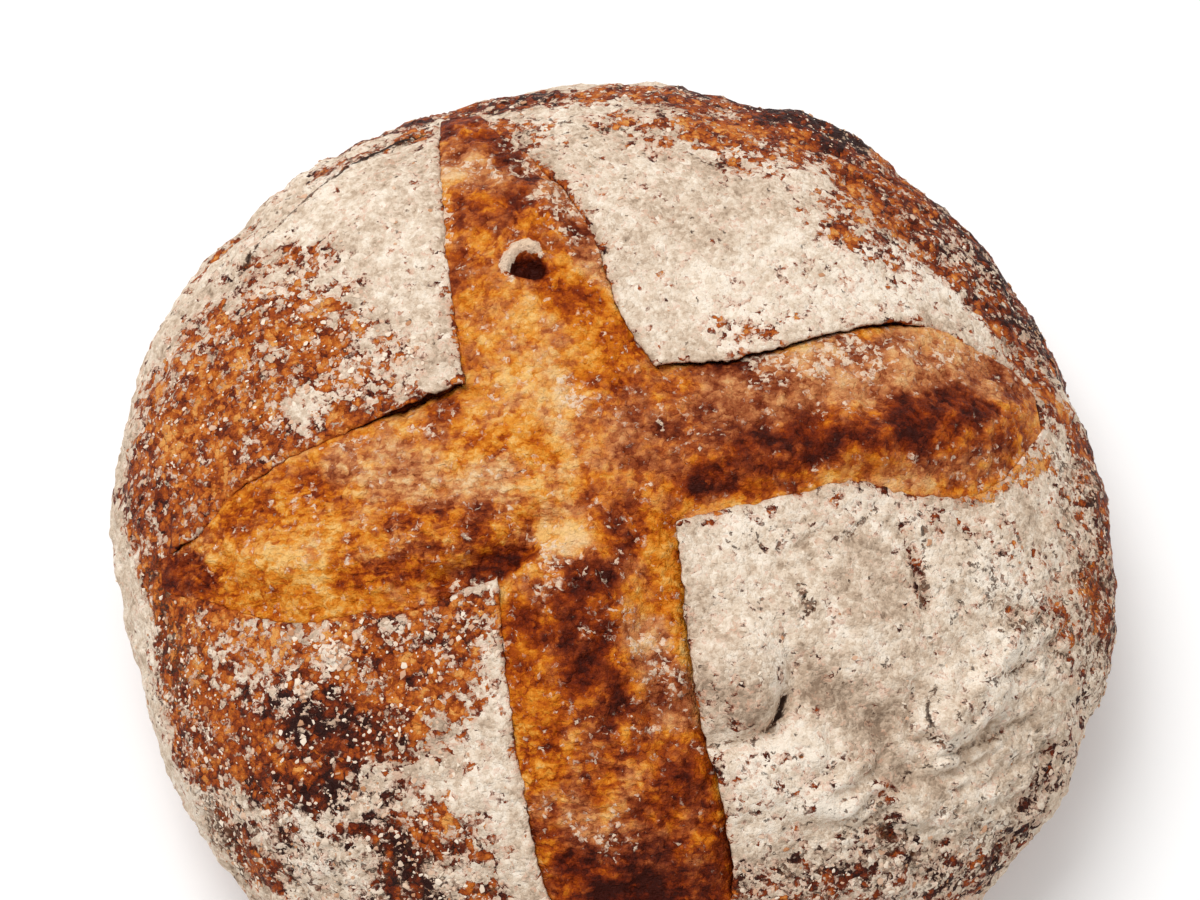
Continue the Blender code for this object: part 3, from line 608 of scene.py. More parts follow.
fine = noise_at(tree, spot, 1.0).outputs["Fac"]
crumbly = noise_at(tree, spot, 3.6, 4.0, 0.65).outputs["Fac"]
tinted = noise_at(tree, spot, 5.5, 3.0).outputs["Fac"]
broad = noise_at(tree, spot, 19, 3.0, 0.55).outputs["Fac"]
bent = ruffled(tree, spot, 1.6, 2.2)
grain_far, grain_a, grain_b, grain_c = grains(tree, bent, 1.7)
grit_far, grit_a, grit_b, grit_c = grains(tree, bent, 0.85)

hidden = maths(tree, "MULTIPLY_ADD", masks["flour"], 0.45, maths(tree, "SUBTRACT", masks["bake"], 0.16))
# The grains' edges are painted darker than their middles: painted shade between the grain tops.
baked = mixed(tree, hidden, ((grain_b, 0.45), (grit_b, 0.2), (crumbly, 0.9), (tinted, 1.1), (fine, 0.2),
                             (grain_far, 0.3)))
bare = ramp(tree, baked, ((0.05, "#DE9A50"), (0.28, "#C4691F"), (0.5, "#9C440E"), (0.68, "#702809"),
                          (0.86, "#471808"), (1.0, "#2C0F08")))
lying = mixed(tree, masks["flour"], ((grain_a, 0.52), (grit_a, 0.3), (crumbly, 1.2), (fine, 0.3)))
cover = fade(tree, lying, 0.41, 0.6)
# The flour's tone greys with thinner flour and with painted shade.
worn = mixed(tree, maths(tree, "ADD", masks["thin"], 0.34), ((broad, 0.8), (crumbly, 1.5), (fine, 0.7), (tinted, 0.7),
                                                             (grit_c, 0.3), (grain_c, 0.25)))
powder = ramp(tree, worn, ((0.0, "#F4E6D4"), (0.3, "#E3D0BA"), (0.6, "#C8B098"), (1.0, "#957D68")))
blush = fade(tree, mixed(tree, lying, ((tinted, 0.6), (grit_c, 0.3))), 0.8, 0.5)
powder = blend(tree, maths(tree, "MULTIPLY", blush, 0.6), powder, srgb("#CF9C80"))

# Short dark cracks and dashes, where the flour opened as the skin under it stretched.
bend = maths(tree, "ABSOLUTE", maths(tree, "SUBTRACT", noise_at(tree, bent, 3.4, 2.0).outputs["Fac"], 0.5))
gate = maths(tree, "MULTIPLY_ADD", masks["pits"], 0.3, maths(tree, "SUBTRACT", noise_at(tree, spot, 2.3, 1.0).outputs["Fac"], 0.72))
dash = maths(tree, "MULTIPLY", fade(tree, bend, 0.055, 0.0), fade(tree, gate, 0.0, 0.1))
dot = fade(tree, mixed(tree, masks["pits"], ((grit_b, 0.8), (crumbly, 0.7), (fine, 0.4))), 0.82, 1.12)
# Pits, cracks and the painted shadow lines, as one dark mark.
pit = maths(tree, "MAXIMUM", dash, dot)
skin = blend(tree, cover, bare, powder)
dark = ramp(tree, grain_c, ((0.0, "#84512F"), (0.5, "#5E3822"), (1.0, "#3A241A")))
skin = blend(tree, maths(tree, "MULTIPLY", pit, 0.85), skin, dark)
# The darkest cores of the crack lines: painted shadow.
cleft = fade(tree, mixed(tree, masks["pits"], ((fine, 0.5), (grit_b, 0.3))), 1.05, 1.4)
skin = blend(tree, cleft, skin, srgb("#2E1B12"))
tree.links.new(skin, shader.inputs["Base Color"])
tree.links.new(fade(tree, cover, 0, 1, 0.6, 0.95), shader.inputs["Roughness"])
shader.inputs["Specular IOR Level"].default_value = 0.15
pebbles = maths(tree, "MULTIPLY_ADD", maths(tree, "SUBTRACT", 1.0, cover), 0.5, 0.45)
coat = maths(tree, "MULTIPLY", maths(tree, "SUBTRACT", 0.5, grain_far), pebbles)
coat = maths(tree, "MULTIPLY_ADD", maths(tree, "SUBTRACT", 0.5, grit_far), maths(tree, "MULTIPLY", pebbles, 0.5), coat)
coat = maths(tree, "MULTIPLY_ADD", cover, 0.3, maths(tree, "MULTIPLY_ADD", fine, 0.5, coat))
coat = maths(tree, "MULTIPLY_ADD", crumbly, 1.9, coat)
coat = maths(tree, "MULTIPLY_ADD", pit, -0.8, coat)
coat = maths(tree, "MULTIPLY_ADD", cleft, -1.2, coat)
bump = add(tree, "ShaderNodeBump", {}, {"Height": coat, "Distance": 0.7 * MM, "Strength": 1.0})
tree.links.new(bump.outputs["Normal"], shader.inputs["Normal"])
crust.data.materials.append(finish)

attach(crust, "root")
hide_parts("loaf")


# The bloom: the crumb that rose through the two cuts when the loaf sprang in the oven. It is a
# torn, stretched skin without flour, folded and blistered, tucked in under the flaps' lips.
TUCK = 1.6
ACROSS = 96


def bloom_lines(before, after):
    first = [(1 - n / before, n / before, 0, 0, -TUCK * n / before) for n in range(before)]
    band = [(0, 1 - s, s, 0, TUCK * (2 * s - 1)) for s in np.linspace(0, 1, ACROSS + 1)]
    last = [(0, 0, 1 - n / after, n / after, TUCK * (1 - n / after)) for n in range(1, after + 1)]
    return np.array(first + band + last)


BLOOM_ENDS = {"left": -119.0, "right": 113.0, "front": -125.0, "back": 114.0}
WEST, EAST, SOUTH, NORTH = 196, 212, 225, 192
columns, rows = bloom_lines(WEST, EAST), bloom_lines(SOUTH, NORTH)
x, y = lattice(columns, rows, (lambda t: BLOOM_ENDS["left"], lambda t: BLOOM_ENDS["right"],
                               lambda t: BLOOM_ENDS["front"], lambda t: BLOOM_ENDS["back"]))
in_strip = np.zeros(x.shape, bool)
in_strip[WEST:WEST + ACROSS + 1, :] = True
in_strip[:, SOUTH:SOUTH + ACROSS + 1] = True
ids = np.full(x.shape, -1)
ids[in_strip] = np.arange(in_strip.sum())
bx, by = x[in_strip], y[in_strip]

long_out, cross_out, open_long, open_cross, by_cut = cross_edges(bx, by)
plain = plain_loaf(bx, by)
inside_long, inside_cross = -long_out, -cross_out
gap = inside_long - inside_cross
inside = (inside_long + inside_cross + np.sqrt(gap**2 + 9)) / 2
inside = np.minimum(inside, np.maximum(inside_long, inside_cross) + 1.0)
opened = np.where(inside_long > inside_cross, open_long, open_cross)
opened = np.maximum(opened, np.minimum(smooth_step(-2, 4, np.minimum(inside_long, inside_cross)), 1))
crevice_long, crevice_cross = by_cut(CREVICE)
crevice = np.where(inside_long > inside_cross, crevice_long, crevice_cross)

# Ridges and folds of the crumb: start, end, half width, height.
FOLDS = (
    ((20, 2), (58, 7), 7.5, 3.0), ((58, 7), (92, 17), 8.5, 3.4), ((-78, -19), (-30, -15), 8.0, 3.0),
    ((-38, -25), (-14, -14), 2.6, -3.4), ((-8, -26), (-6, -50), 9.0, 2.4), ((8, -28), (12, -62), 4.5, -1.4),
    ((-10, 22), (-8, -20), 3.5, -1.0), ((-24, 52), (-12, 76), 10.0, 1.6),
    ((-40, 2), (-14, -8), 4.0, 0.9), ((-100, -16), (-112, -17), 4.0, -1.0), ((56, 6), (60, 20), 2.5, -0.9),
    ((-22, -50), (-14, -90), 3.5, 0.8), ((20, -20), (22, -60), 3.0, 0.7), ((-6, -75), (22, -66), 3.0, 0.8),
    ((-8, -92), (24, -82), 3.5, 0.9), ((70, 30), (84, 24), 4.0, 0.7), ((36, 20), (46, 22), 4.0, 0.6),
)
drift = np.stack([grain(plain, 9, 3, 11), grain(plain, 9, 3, 12)])
folds = sum(bank(bx + 2 * drift[0], by + 2 * drift[1], *fold) for fold in FOLDS)

# Stretched strands: they run across the way each cut opened.
turn = np.where(inside_long > inside_cross, 1.1, 0.35) + 0.5 * grain(plain, 20, 1, 13)
along_strand = bx * np.cos(turn) + by * np.sin(turn)
across_strand = -bx * np.sin(turn) + by * np.cos(turn)
strand_spot = np.stack([along_strand / 4.5 + drift[0], across_strand / 1.5 + 1.2 * drift[1], plain[..., 2] / 9], -1)
strands = np.abs(grain(strand_spot, 1, 2, 14))
torn = 1.0 * grain(plain, 9, 3, 15) + 0.65 * grain(plain, 3.8, 3, 16) + 0.3 * grain(plain, 1.7, 2, 17)
crumb = torn - 0.5 * strands
blistered = patch(bx, by, (((-9, -31), (1, -38), 8, 1.0), ((6, 3), (8, 4), 4, 0.7), ((84, 20), (90, 23), 6, 0.6)))
crumb += blistered * 0.7 * grain(plain, 2.2, 2, 18)

# The burst bubble: a raised rim, highest at the back left, around an oval hole off its middle.
BUBBLE, BUBBLE_HOLE = (-19.3, 51.3), (-18.3, 50.0)
bubble_x, bubble_y = bx - BUBBLE[0] + 1.3 * drift[0], by - BUBBLE[1] + 1.3 * drift[1]
rim_away = np.hypot(bubble_x, bubble_y) / 4.0
hole_away = np.hypot((bx - BUBBLE_HOLE[0] + drift[0]) / 3.8, (by - BUBBLE_HOLE[1] + drift[1]) / 2.7)
rim_side = np.clip(0.55 - 0.2 * bubble_x + 0.2 * bubble_y + 0.7 * grain(plain, 2.5, 2, 27), 0, 1.3)
bubble_rim = rim_side * np.exp(-((rim_away - 0.9) / 0.36) ** 2)
bubble_hole = np.exp(-(hole_away**4))
bubble = 1.7 * bubble_rim * (1 - bubble_hole) - 3.4 * bubble_hole

within = np.clip(inside, 0, None)
settle = smooth_step(0, 3.0, inside)
relief = 1.2 * smooth_step(0, 16, within) - crevice * np.exp(-within / 3.2)
relief += folds * smooth_step(0, 6, within) + crumb * (0.35 + 0.65 * settle) + bubble
relief = relief * opened - 1.5 * (1 - smooth_step(0, 0.12, opened)) - 1.5 * np.clip(-inside, 0, None)
bloom_top = set_on_loaf(bx, by, relief)

# The underside is drawn down into the channel and closed with long faces across each arm.
west_id, east_id, south_id, north_id = WEST, WEST + ACROSS, SOUTH, SOUTH + ACROSS
UNDERSIDE = 6.0
on_side = np.zeros(x.shape, bool)
on_side[[west_id, east_id], :] = True
on_side[:, [south_id, north_id]] = True
on_side &= in_strip
in_band = np.zeros(x.shape, bool)
in_band[west_id + 1:east_id, south_id + 1:north_id] = True
strip_col = np.zeros(x.shape, bool)
strip_col[west_id + 1:east_id, :] = True
strip_row = np.zeros(x.shape, bool)
strip_row[:, south_id + 1:north_id] = True
on_side &= ~(strip_col & ((np.arange(x.shape[1])[None, :] == south_id) | (np.arange(x.shape[1])[None, :] == north_id)))
on_side &= ~(strip_row & ((np.arange(x.shape[0])[:, None] == west_id) | (np.arange(x.shape[0])[:, None] == east_id)))
under_ids = np.full(x.shape, -1)
under_ids[on_side] = in_strip.sum() + np.arange(on_side.sum())
bloom_under = set_on_loaf(x[on_side], y[on_side], np.full(on_side.sum(), -UNDERSIDE))

cells = lattice_faces(ids)
faces = cells[(cells >= 0).all(1)].tolist()


def wall(top, under, flip):
    """Upright quads between a run of top corners and the corners under them."""
    quads = np.stack([top[:-1], under[:-1], under[1:], top[1:]], -1)
    return (quads[:, ::-1] if flip else quads).tolist()


def floor_across(side_a, side_b):
    """Long quads that close the underside between an arm's two sides."""
    return np.stack([side_a[:-1], side_a[1:], side_b[1:], side_b[:-1]], -1).tolist()


front, back = slice(0, south_id + 1), slice(north_id, None)
left, right = slice(0, west_id + 1), slice(east_id, None)
for part in (front, back):
    faces += wall(ids[west_id, part], under_ids[west_id, part], True)
    faces += wall(ids[east_id, part], under_ids[east_id, part], False)
    faces += floor_across(under_ids[west_id, part], under_ids[east_id, part])
for part in (left, right):
    faces += wall(ids[part, south_id], under_ids[part, south_id], False)
    faces += wall(ids[part, north_id], under_ids[part, north_id], True)
    faces += floor_across(under_ids[part, north_id], under_ids[part, south_id])
faces.append([int(under_ids[i, j]) for i, j in ((west_id, south_id), (west_id, north_id), (east_id, north_id), (east_id, south_id))])
for top, ends, flip in ((ids[west_id:east_id + 1, 0], under_ids[[west_id, east_id], 0], True),
                        (ids[west_id:east_id + 1, -1], under_ids[[west_id, east_id], -1], False),
                        (ids[0, south_id:north_id + 1], under_ids[0, [south_id, north_id]], False),
                        (ids[-1, south_id:north_id + 1], under_ids[-1, [south_id, north_id]], True)):
    cap = [*top.tolist(), int(ends[1]), int(ends[0])]
    faces.append(cap[::-1] if flip else cap)

# How far each part of the bloom browned, from 0, pale and moist, to 1, burnt. Some patches also paint shade into
# creases and under the lips.
CRUMB_BAKE = (
    ((-43, 100), (-24, 89), 6, 0.32), ((-39, 83), (-24, 79), 3.5, -0.03), ((-31, 69), (-9, 58), 7, 0.34),
    ((-15, 74), (-4, 58), 5, 0.12), ((-36, 60), (-35, 46), 4, 0.22), ((-42, 110), (-26, 109), 6, 0.4), ((-26, 36), (-2, 41), 6, -0.06),
    ((-9, 44), (2, 31), 6, 0.26), ((-8, -92), (24, -88), 8, 0.25), ((54, 31), (72, 31), 6, 0.18), ((42, 30), (50, 30), 4, -0.12), ((26, 29), (33, 30), 4, 0.25), ((36, 16), (46, 19), 5, 0.18), ((-25, 16), (-9, 21), 8, -0.12), ((-10, 22), (-9, 18), 3, -0.06), ((-1, 26), (3, 27), 4, -0.1),
    ((-10, 9), (-9, -1), 2.5, -0.18), ((-14, -15), (-8, -18), 3, -0.25), ((-34, 0), (-11, -8), 4, -0.14),
    ((5, 16), (29, 9), 9, 0.22), ((6, 4), (8, 3), 3.5, 0.18), ((20, 6), (43, 7), 7, 0.06), ((33, 4), (42, 5), 4.5, 0.18),
    ((43, 7), (54, 10), 6, 0.2), ((68, 13), (84, 21), 6.2, 0.42), ((58, 9), (66, 12), 5, 0.12), ((52, 5), (72, 6), 5, 0.2), ((80, 3), (92, 9), 5, 0.2), ((96, 14), (98, 8), 5, 0.1), ((20, -3), (40, -2), 3.5, 0.34),
    ((98, 36), (101, 28), 5, 0.3), ((30, 25), (55, 31), 5, 0.02), ((66, 0), (98, 8), 3, -0.06),
    ((-88, -10), (-60, -15), 9, -0.16), ((-94, -6), (-70, -4), 6, 0.26), ((-90, -9), (-86, -10), 4, 0.12),
    ((-73, -20), (-66, -21), 5, -0.14), ((-24, -12), (-18, -14), 4, -0.2), ((-6, -47), (-2, -54), 4.5, 0.14),
    ((-10, -45), (-8, -48), 4, 0.1), ((1, -41), (2, -46), 4, 0.14), ((-46, -18), (-38, -19), 4, -0.14), ((-38, 16), (-35, 15), 3, 0.25),
    ((20, -8), (24, -8), 3, -0.15), ((5, -3), (8, -2), 3, 0.14), ((-23, 73), (-19, 74), 4, 0.15), ((91, 29), (95, 27), 4, 0.15), ((-16, -76), (-14, -78), 3, 0.15),
    ((-91, -3), (-88, -4), 3, 0.1), ((44, 22), (52, 26), 5, -0.12), ((0, 3), (2, 3), 3, 0.12), ((-22, -2), (-18, -3), 4, -0.12), ((-58, -23), (-56, -25), 3, -0.1), ((-20, -55), (-19, -58), 3, 0.1),
    ((20, 27), (25, 28), 3, 0.15), ((64, 5), (70, 6), 4, 0.12),
    ((21, 3), (25, 4), 4, 0.14), ((-28, 27), (-24, 27), 3.5, 0.1), ((-5, -19), (-3, -20), 3, -0.1), ((20, -70), (23, -74), 4, 0.18), ((15, -80), (19, -84), 4, -0.16), ((5, -34), (8, -37), 4, -0.08), ((10, -56), (12, -57), 3.5, -0.2),
    ((-11, -91), (-8, -94), 4, -0.2), ((-18, 57), (-6, 55), 5, -0.2), ((-6, -24), (-2, -27), 4, 0.2),
    ((-18, -60), (-14, -64), 4, -0.18), ((9, -76), (13, -71), 4, 0.25), ((12, -44), (14, -48), 3, 0.16),
    ((-45, -22), (-58, -25), 3, 0.2), ((-6, 25), (-2, 23), 4, 0.16), ((-90, -24), (-63, -29), 5, -0.02), ((-114, -16), (-99, -19), 5, 0.42),
    ((-58, -1), (-35, -12), 8, 0.04), ((-58, -20), (-24, -14), 7, 0.24), ((-37, -28), (-18, -18), 3, 0.35),
    ((-34, 4), (-27, 3), 4, 0.15), ((-6, 3), (1, -17), 6, 0.18), ((4, -14), (15, -5), 6, 0.2),
    ((4, -47), (8, -54), 5, 0.2), ((10, -44), (13, -50), 4, 0.16), ((14, -58), (20, -66), 6, 0.2),
    ((-14, -80), (-9, -85), 4, 0.3), ((14, -88), (22, -90), 5, -0.12), ((79, 5), (84, 6), 4, 0.1),
    ((28, 22), (44, 27), 5, 0.14), ((-22, 82), (-18, 76), 4, 0.28), ((-40, 90), (-36, 84), 3, 0.15), ((-4, -122), (26, -122), 12, 0.4), ((-21, -35), (-15, -60), 5, 0.18), ((-5, -27), (-6, -40), 7, 0.34), ((-18, -30), (-12, -36), 5, 0.14), ((-54, -18), (-47, -21), 4, -0.15), ((-43, -22), (-40, -28), 4, 0.1),
    ((-3, -50), (2, -61), 6, 0.15), ((-11, -65), (15, -70), 7, 0.16), ((15, -17), (20, -52), 4, -0.02),
    ((-4, -86), (24, -81), 7, 0.2), ((-8, -102), (26, -102), 12, 0.42), ((-14, -72), (-10, -84), 4, -0.1),
)
# Where flour dusted the crumb; some patches paint glints on the blistered crest and light on the back side of the
# right-hand arm.
DUSTED = (((-22, 93), (-10, 60), 5, 0.26), ((-14, -20), (-6, -24), 4, 0.15), ((37, 26), (58, 30), 5.5, 0.32), ((58, 32), (84, 36), 5, 0.12),
          ((-8, -28), (2, -38), 6, 0.12), ((-14, 74), (-4, 58), 3.5, 0.2),
          ((-39, 84), (-26, 80), 3, 0.2), ((-34, -27), (-26, -25), 2.5, 0.3), ((9, -39), (14, -50), 3, 0.25),
          ((-4, -80), (3, -83), 4, 0.22), ((-10, 22), (-8, 16), 2.5, 0.25), ((94, 4), (104, 12), 2.5, 0.15),
          ((-60, 9), (-36, 12), 3, 0.1), ((-38, 60), (-39, 70), 2, 0.3))
brown = 0.31 + patch(bx, by, CRUMB_BAKE, 3 * drift) + 0.1 * grain(plain, 8, 2, 19)
dust = 0.21 + patch(bx, by, DUSTED, 3 * drift)
# The bubble's hole is painted dark, as painted shade; its rim is painted pale, partly flour and partly a painted
# highlight on its lit back-left side.
brown = brown + 0.9 * np.exp(-((hole_away / 1.2) ** 4))
dust = np.minimum(dust, 0.5) + 1.5 * bubble_rim - 1.4 * bubble_hole
dust = dust - 0.22 * smooth_step(0.55, 0.85, brown)
# The crumb's hollows are painted darker: painted shade.
hollow = np.clip(0.5 - 0.9 * crumb, 0, 1)
DRY = (
    ((-92, -24), (-60, -30), 7, -0.4), ((-88, -8), (-66, -8), 9, -0.1), ((-21, -35), (-15, -65), 5, -0.4),
    ((-9, 44), (2, 31), 6, -0.5), ((13, -17), (18, -40), 5, -0.3), ((-22, 9), (-14, 4), 4, -0.3),
    ((-58, 2), (-28, -2), 7, 0.35), ((-43, 86), (-22, 78), 8, 0.3), ((30, 20), (96, 34), 9, 0.5),
    ((-12, 22), (-9, -20), 4, 0.1), ((4, 8), (30, 12), 9, 0.25), ((60, -2), (104, 12), 3, 0.2),
    ((-14, 74), (-2, 50), 4, 0.35), ((-34, 2), (-28, 5), 4, -0.4), ((8, -38), (16, -54), 5, 0.4), ((-6, -78), (8, -84), 5, 0.3),
)
dry = 0.38 + patch(bx, by, DRY, 3 * drift)
stringy = 0.25 + patch(bx, by, (((-90, -15), (-30, -10), 18, 0.6), ((-10, -70), (15, -100), 18, 0.6),
                                ((-15, 5), (-12, -20), 8, 0.3)))
bloom = make_piece("bloom", np.concatenate([bloom_top, bloom_under]), faces,
                   brown=np.concatenate([brown, np.full(on_side.sum(), 0.8)]),
                   dust=np.concatenate([dust, np.zeros(on_side.sum())]),
                   hollow=np.concatenate([hollow, np.ones(on_side.sum())]),
                   strands=np.concatenate([stringy, np.zeros(on_side.sum())]),
                   dry=np.concatenate([dry, np.zeros(on_side.sum())]))

# Torn crumb: stretched gluten and starch, glazed amber by the steam, browned on the crests.
finish = bpy.data.materials.new("torn_crumb")
finish.use_nodes = True
tree = finish.node_tree
shader = tree.nodes["Principled BSDF"]
spot = add(tree, "ShaderNodeTexCoord", {}, {}).outputs["Object"]
masks = {name: add(tree, "ShaderNodeAttribute", {"attribute_name": name}, {}).outputs["Fac"]
         for name in ("brown", "dust", "hollow", "strands", "dry")}
fine = noise_at(tree, spot, 0.8).outputs["Fac"]
crumbly = noise_at(tree, spot, 3.0, 4.0, 0.65).outputs["Fac"]
tinted = noise_at(tree, spot, 6.5, 3.0).outputs["Fac"]
bent = ruffled(tree, spot, 2.0, 2.4)
grain_far, grain_a, grain_b, grain_c = grains(tree, bent, 2.0)
grit_far, grit_a, grit_b, grit_c = grains(tree, bent, 1.0)
slanted = add(tree, "ShaderNodeMapping", {}, {"Vector": bent, "Rotation": (0, 0, math.radians(-28)),
                                              "Scale": (0.16, 0.65, 0.3)}).outputs["Vector"]
strand = maths(tree, "SUBTRACT", noise_at(tree, slanted, 1.0, 2.0).outputs["Fac"], 0.5)
strand = maths(tree, "MULTIPLY", strand, masks["strands"])
fibrous = add(tree, "ShaderNodeMapping", {}, {"Vector": bent, "Rotation": (0, 0, math.radians(-34)),
                                               "Scale": (0.45, 1.7, 0.9)}).outputs["Vector"]
fibre = noise_at(tree, fibrous, 1.0, 3.0, 0.65).outputs["Fac"]
# The grain edges and the crumb's hollows are painted darker: painted shade.
baked = mixed(tree, masks["brown"], ((grain_b, 0.2), (grit_b, 0.14), (crumbly, 0.5), (tinted, 0.6), (fine, 0.2),
                                     (fibre, 0.22), (masks["hollow"], 0.22), (grain_far, 0.1)))
baked = maths(tree, "MULTIPLY_ADD", strand, -1.0, baked)
moist = ramp(tree, baked, ((0.0, "#EFBC70"), (0.2, "#E39636"), (0.36, "#D27512"), (0.52, "#AC4C06"), (0.68, "#812D03"),
                           (0.84, "#5E1A02"), (1.0, "#3A0D02")))
dried = ramp(tree, baked, ((0.0, "#EBC596"), (0.2, "#DCA46C"), (0.36, "#CA8350"), (0.52, "#A85E34"), (0.68, "#813818"),
                           (0.84, "#5C1F0B"), (1.0, "#391006")))
bare = blend(tree, fade(tree, mixed(tree, masks["dry"], ((tinted, 1.2), (crumbly, 0.8))), 0.2, 0.8), moist, dried)
# Pale flecks of dust, some of them painted glints on the crumb.
lying = mixed(tree, masks["dust"], ((grain_a, 0.3), (grit_a, 0.5), (crumbly, 0.9), (fine, 0.3)))
cover = fade(tree, lying, 0.44, 0.7, 0.0, 0.9)
skin = blend(tree, cover, bare, srgb("#ECD2B7"))
tree.links.new(skin, shader.inputs["Base Color"])
tree.links.new(fade(tree, cover, 0, 1, 0.5, 0.9), shader.inputs["Roughness"])
shader.inputs["Specular IOR Level"].default_value = 0.1
coat = maths(tree, "MULTIPLY", maths(tree, "SUBTRACT", 0.5, grain_far), 0.6)
coat = maths(tree, "MULTIPLY_ADD", maths(tree, "SUBTRACT", 0.5, grit_far), 0.3, coat)
coat = maths(tree, "MULTIPLY_ADD", fibre, 0.8, coat)
coat = maths(tree, "MULTIPLY_ADD", crumbly, 1.5, maths(tree, "MULTIPLY_ADD", fine, 0.3, coat))
coat = maths(tree, "MULTIPLY_ADD", strand, 1.8, coat)
bump = add(tree, "ShaderNodeBump", {}, {"Height": coat, "Distance": 0.7 * MM, "Strength": 1.0})
tree.links.new(bump.outputs["Normal"], shader.inputs["Normal"])
bloom.data.materials.append(finish)

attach(bloom, "root")
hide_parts("loaf")


# The clumps: flour that caked into crumbs of up to 2 mm as the dough proved, and stuck to the crust.
# They are soft, matt and off-white, with no two alike, and lie thickest where the crust was scuffed.
CLUMP_TRIES = 90000
CLUMP_PATCHES = (
    ((-100, -40), (-40, -40), 12, 0.5), ((-100, -60), (-50, -68), 12, 0.35), ((-92, -36), (-80, -45), 8, -0.4), ((-46, -60), (-36, -96), 9, 0.5),
    ((-104, 22), (-64, 34), 16, 0.35), ((-76, 48), (-50, 26), 8, 0.4), ((-110, -30), (-96, -84), 9, 0.3),
    ((60, 104), (118, 48), 10, 0.3), ((0, 114), (60, 106), 8, 0.3), ((120, 8), (126, -40), 10, 0.35),
    ((34, -96), (96, -84), 12, 0.35), ((-80, 106), (-20, 112), 8, 0.25), ((-24, -34), (-10, -96), 4, 0.4),
    ((-90, -86), (-40, -96), 14, 0.3), ((-8, 90), (0, 56), 4, 0.3),
)
# Cakes of clumps: place, spread and how many.
CAKES = ((-62.5, -41, 1.9, 40), (-60, -42.5, 1.3, 20), (-70, -49, 1.3, 22), (-57, -73, 0.9, 10), (-46, 30, 1.5, 14))
chance = np.random.default_rng(11)
cx, cy = chance.uniform(-136, 136, (2, CLUMP_TRIES))
long_out, cross_out, open_long, open_cross, by_cut = cross_edges(cx, cy)
clear = np.where(open_long > 0, long_out > 0.8, True) & np.where(open_cross > 0, cross_out > 0.8, True)
wanted = 0.04 + patch(cx, cy, CLUMP_PATCHES)
kept = clear & (np.hypot(cx, cy) < 0.84 * CRUST_LENGTH) & (chance.uniform(0, 1, CLUMP_TRIES) < 0.35 * wanted)
cx, cy = cx[kept], cy[kept]
radius = 0.2 + 0.45 * chance.uniform(0, 1, len(cx)) ** 3
stacked = np.zeros(len(cx))
for place_x, place_y, spread, how_many in CAKES:
    off = chance.normal(0, spread, (2, how_many))
    cx, cy = np.concatenate([cx, place_x + off[0]]), np.concatenate([cy, place_y + off[1]])
    radius = np.concatenate([radius, chance.uniform(0.3, 0.7, how_many)])
    stacked = np.concatenate([stacked, 0.45 * spread * np.exp(-(off**2).sum(0) / spread**2)])

ball = bmesh.new()
bmesh.ops.create_icosphere(ball, subdivisions=1, radius=1)
corners = np.array([corner.co[:] for corner in ball.verts])
sides = np.array([[corner.index for corner in face.verts] for face in ball.faces])
ball.free()
count = len(cx)
spin = chance.uniform(0, 2 * math.pi, count)
stretch = chance.uniform(0.5, 1.6, (count, 3)) * (1, 1, 0.4)
dents = 1 + 0.5 * chance.uniform(-1, 1, (count, len(corners), 1))
local = corners[None] * dents * (stretch * radius[:, None])[:, None, :]
up = outward(cx, cy)
first = np.cross(up, (0.3, 0.5, 0.8))
first /= np.linalg.norm(first, axis=-1, keepdims=True)
second = np.cross(up, first)
one_way = first * np.cos(spin)[:, None] + second * np.sin(spin)[:, None]
other_way = np.cross(up, one_way)
base = set_on_loaf(cx, cy, crust_relief(cx, cy) + 0.05 + stacked)
clump_points = base[:, None] + MM * (local[..., :1] * one_way[:, None] + local[..., 1:2] * other_way[:, None]
                                     + local[..., 2:] * up[:, None])
clump_faces = (sides[None] + np.arange(count)[:, None, None] * len(corners)).reshape(-1, 3)
clumps = make_piece("flour_clumps", clump_points.reshape(-1, 3), clump_faces.tolist(),
                    tint=np.repeat(chance.uniform(0, 1, count), len(corners)))

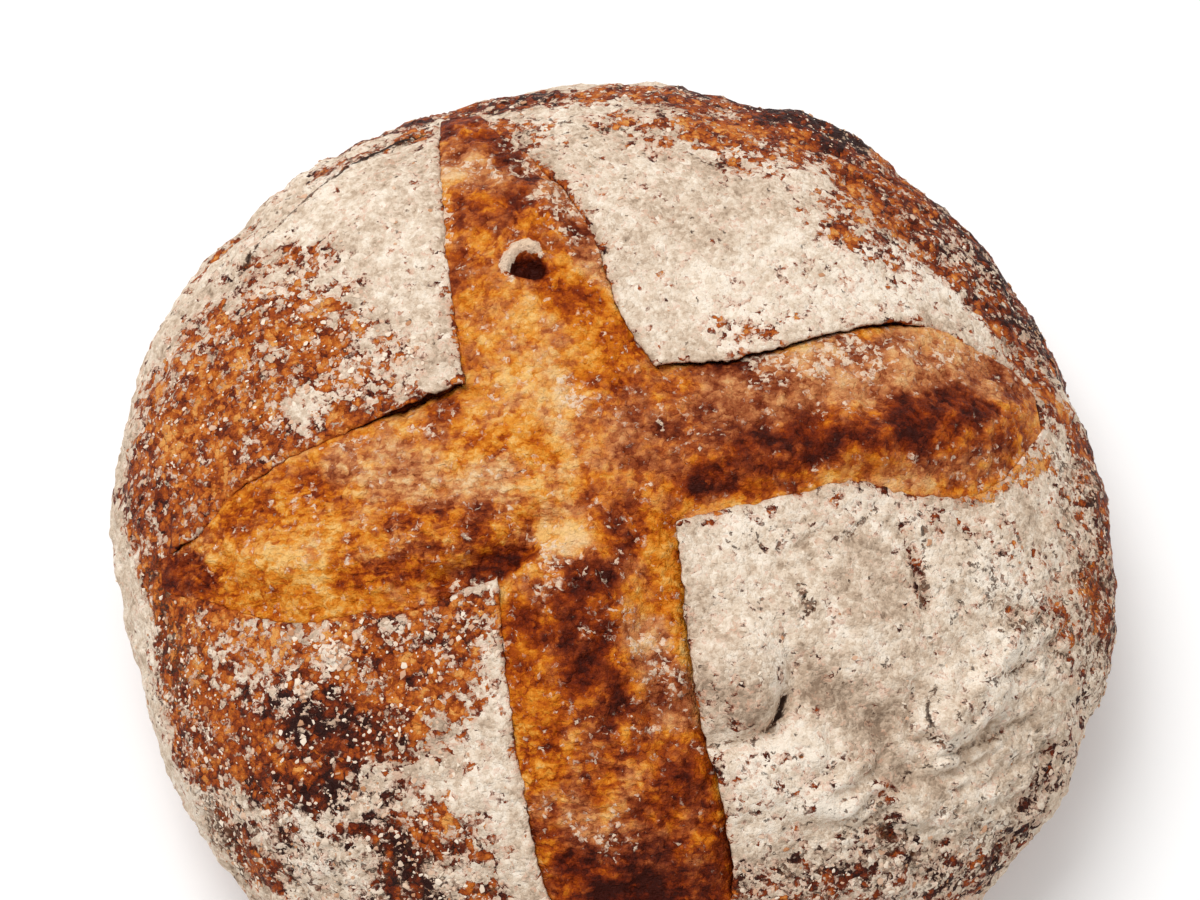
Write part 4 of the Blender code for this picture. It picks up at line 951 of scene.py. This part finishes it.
# Caked flour: chalky and matt, here and there stained by the crust under it.
finish = bpy.data.materials.new("caked_flour")
finish.use_nodes = True
tree = finish.node_tree
shader = tree.nodes["Principled BSDF"]
tint = add(tree, "ShaderNodeAttribute", {"attribute_name": "tint"}, {}).outputs["Fac"]
tree.links.new(ramp(tree, tint, ((0.0, "#F0E0CC"), (0.4, "#E2CBB4"), (0.7, "#D6AD8F"), (1.0, "#B27A52"))),
               shader.inputs["Base Color"])
shader.inputs["Roughness"].default_value = 0.95
shader.inputs["Specular IOR Level"].default_value = 0.1
clumps.data.materials.append(finish)

clumps.data.shade_flat()

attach(clumps, "root")


# The table: a plain white board under the loaf, much wider than the view.
data = bpy.data.meshes.new("table")
mesh = bmesh.new()
bmesh.ops.create_grid(mesh, x_segments=1, y_segments=1, size=4)
mesh.to_mesh(data)
mesh.free()
table = bpy.data.objects.new("table", data)
bpy.context.scene.collection.objects.link(table)
finish = bpy.data.materials.new("white_board")
finish.use_nodes = True
finish.node_tree.nodes["Principled BSDF"].inputs["Base Color"].default_value = srgb("#FDFDFD")
finish.node_tree.nodes["Principled BSDF"].inputs["Roughness"].default_value = 0.9
table.data.materials.append(finish)

# Soft studio light: a wide lamp high at the back left, and an even white surround.
world = bpy.data.worlds.new("surround")
world.use_nodes = True
world.node_tree.nodes["Background"].inputs["Color"].default_value = (1, 1, 1, 1)
world.node_tree.nodes["Background"].inputs["Strength"].default_value = 0.66
bpy.context.scene.world = world
lamp_data = bpy.data.lights.new("window", "AREA")
lamp_data.shape = "SQUARE"
lamp_data.size = 0.9
lamp_data.energy = 18.3
lamp = bpy.data.objects.new("window", lamp_data)
lamp.location = (-0.42, 0.52, 1.65)
lamp.rotation_euler = (Vector((0, 0, 0.04)) - lamp.location).to_track_quat("-Z", "Y").to_euler()
bpy.context.scene.collection.objects.link(lamp)
bpy.context.scene.view_settings.view_transform = "Standard"

# The camera looks down at 70 degrees from in front.
ELEVATION, DISTANCE = math.radians(70), 0.729
camera_data = bpy.data.cameras.new("camera")
camera_data.lens = 85
camera_data.sensor_width = 36
camera = bpy.data.objects.new("camera", camera_data)
aim = Vector((-0.0021, 0.0374, 0))
toward = Vector((0, -math.cos(ELEVATION), math.sin(ELEVATION)))
camera.location = aim + toward * DISTANCE
camera.rotation_euler = (-toward).to_track_quat("-Z", "Y").to_euler()
bpy.context.scene.collection.objects.link(camera)
bpy.context.scene.camera = camera
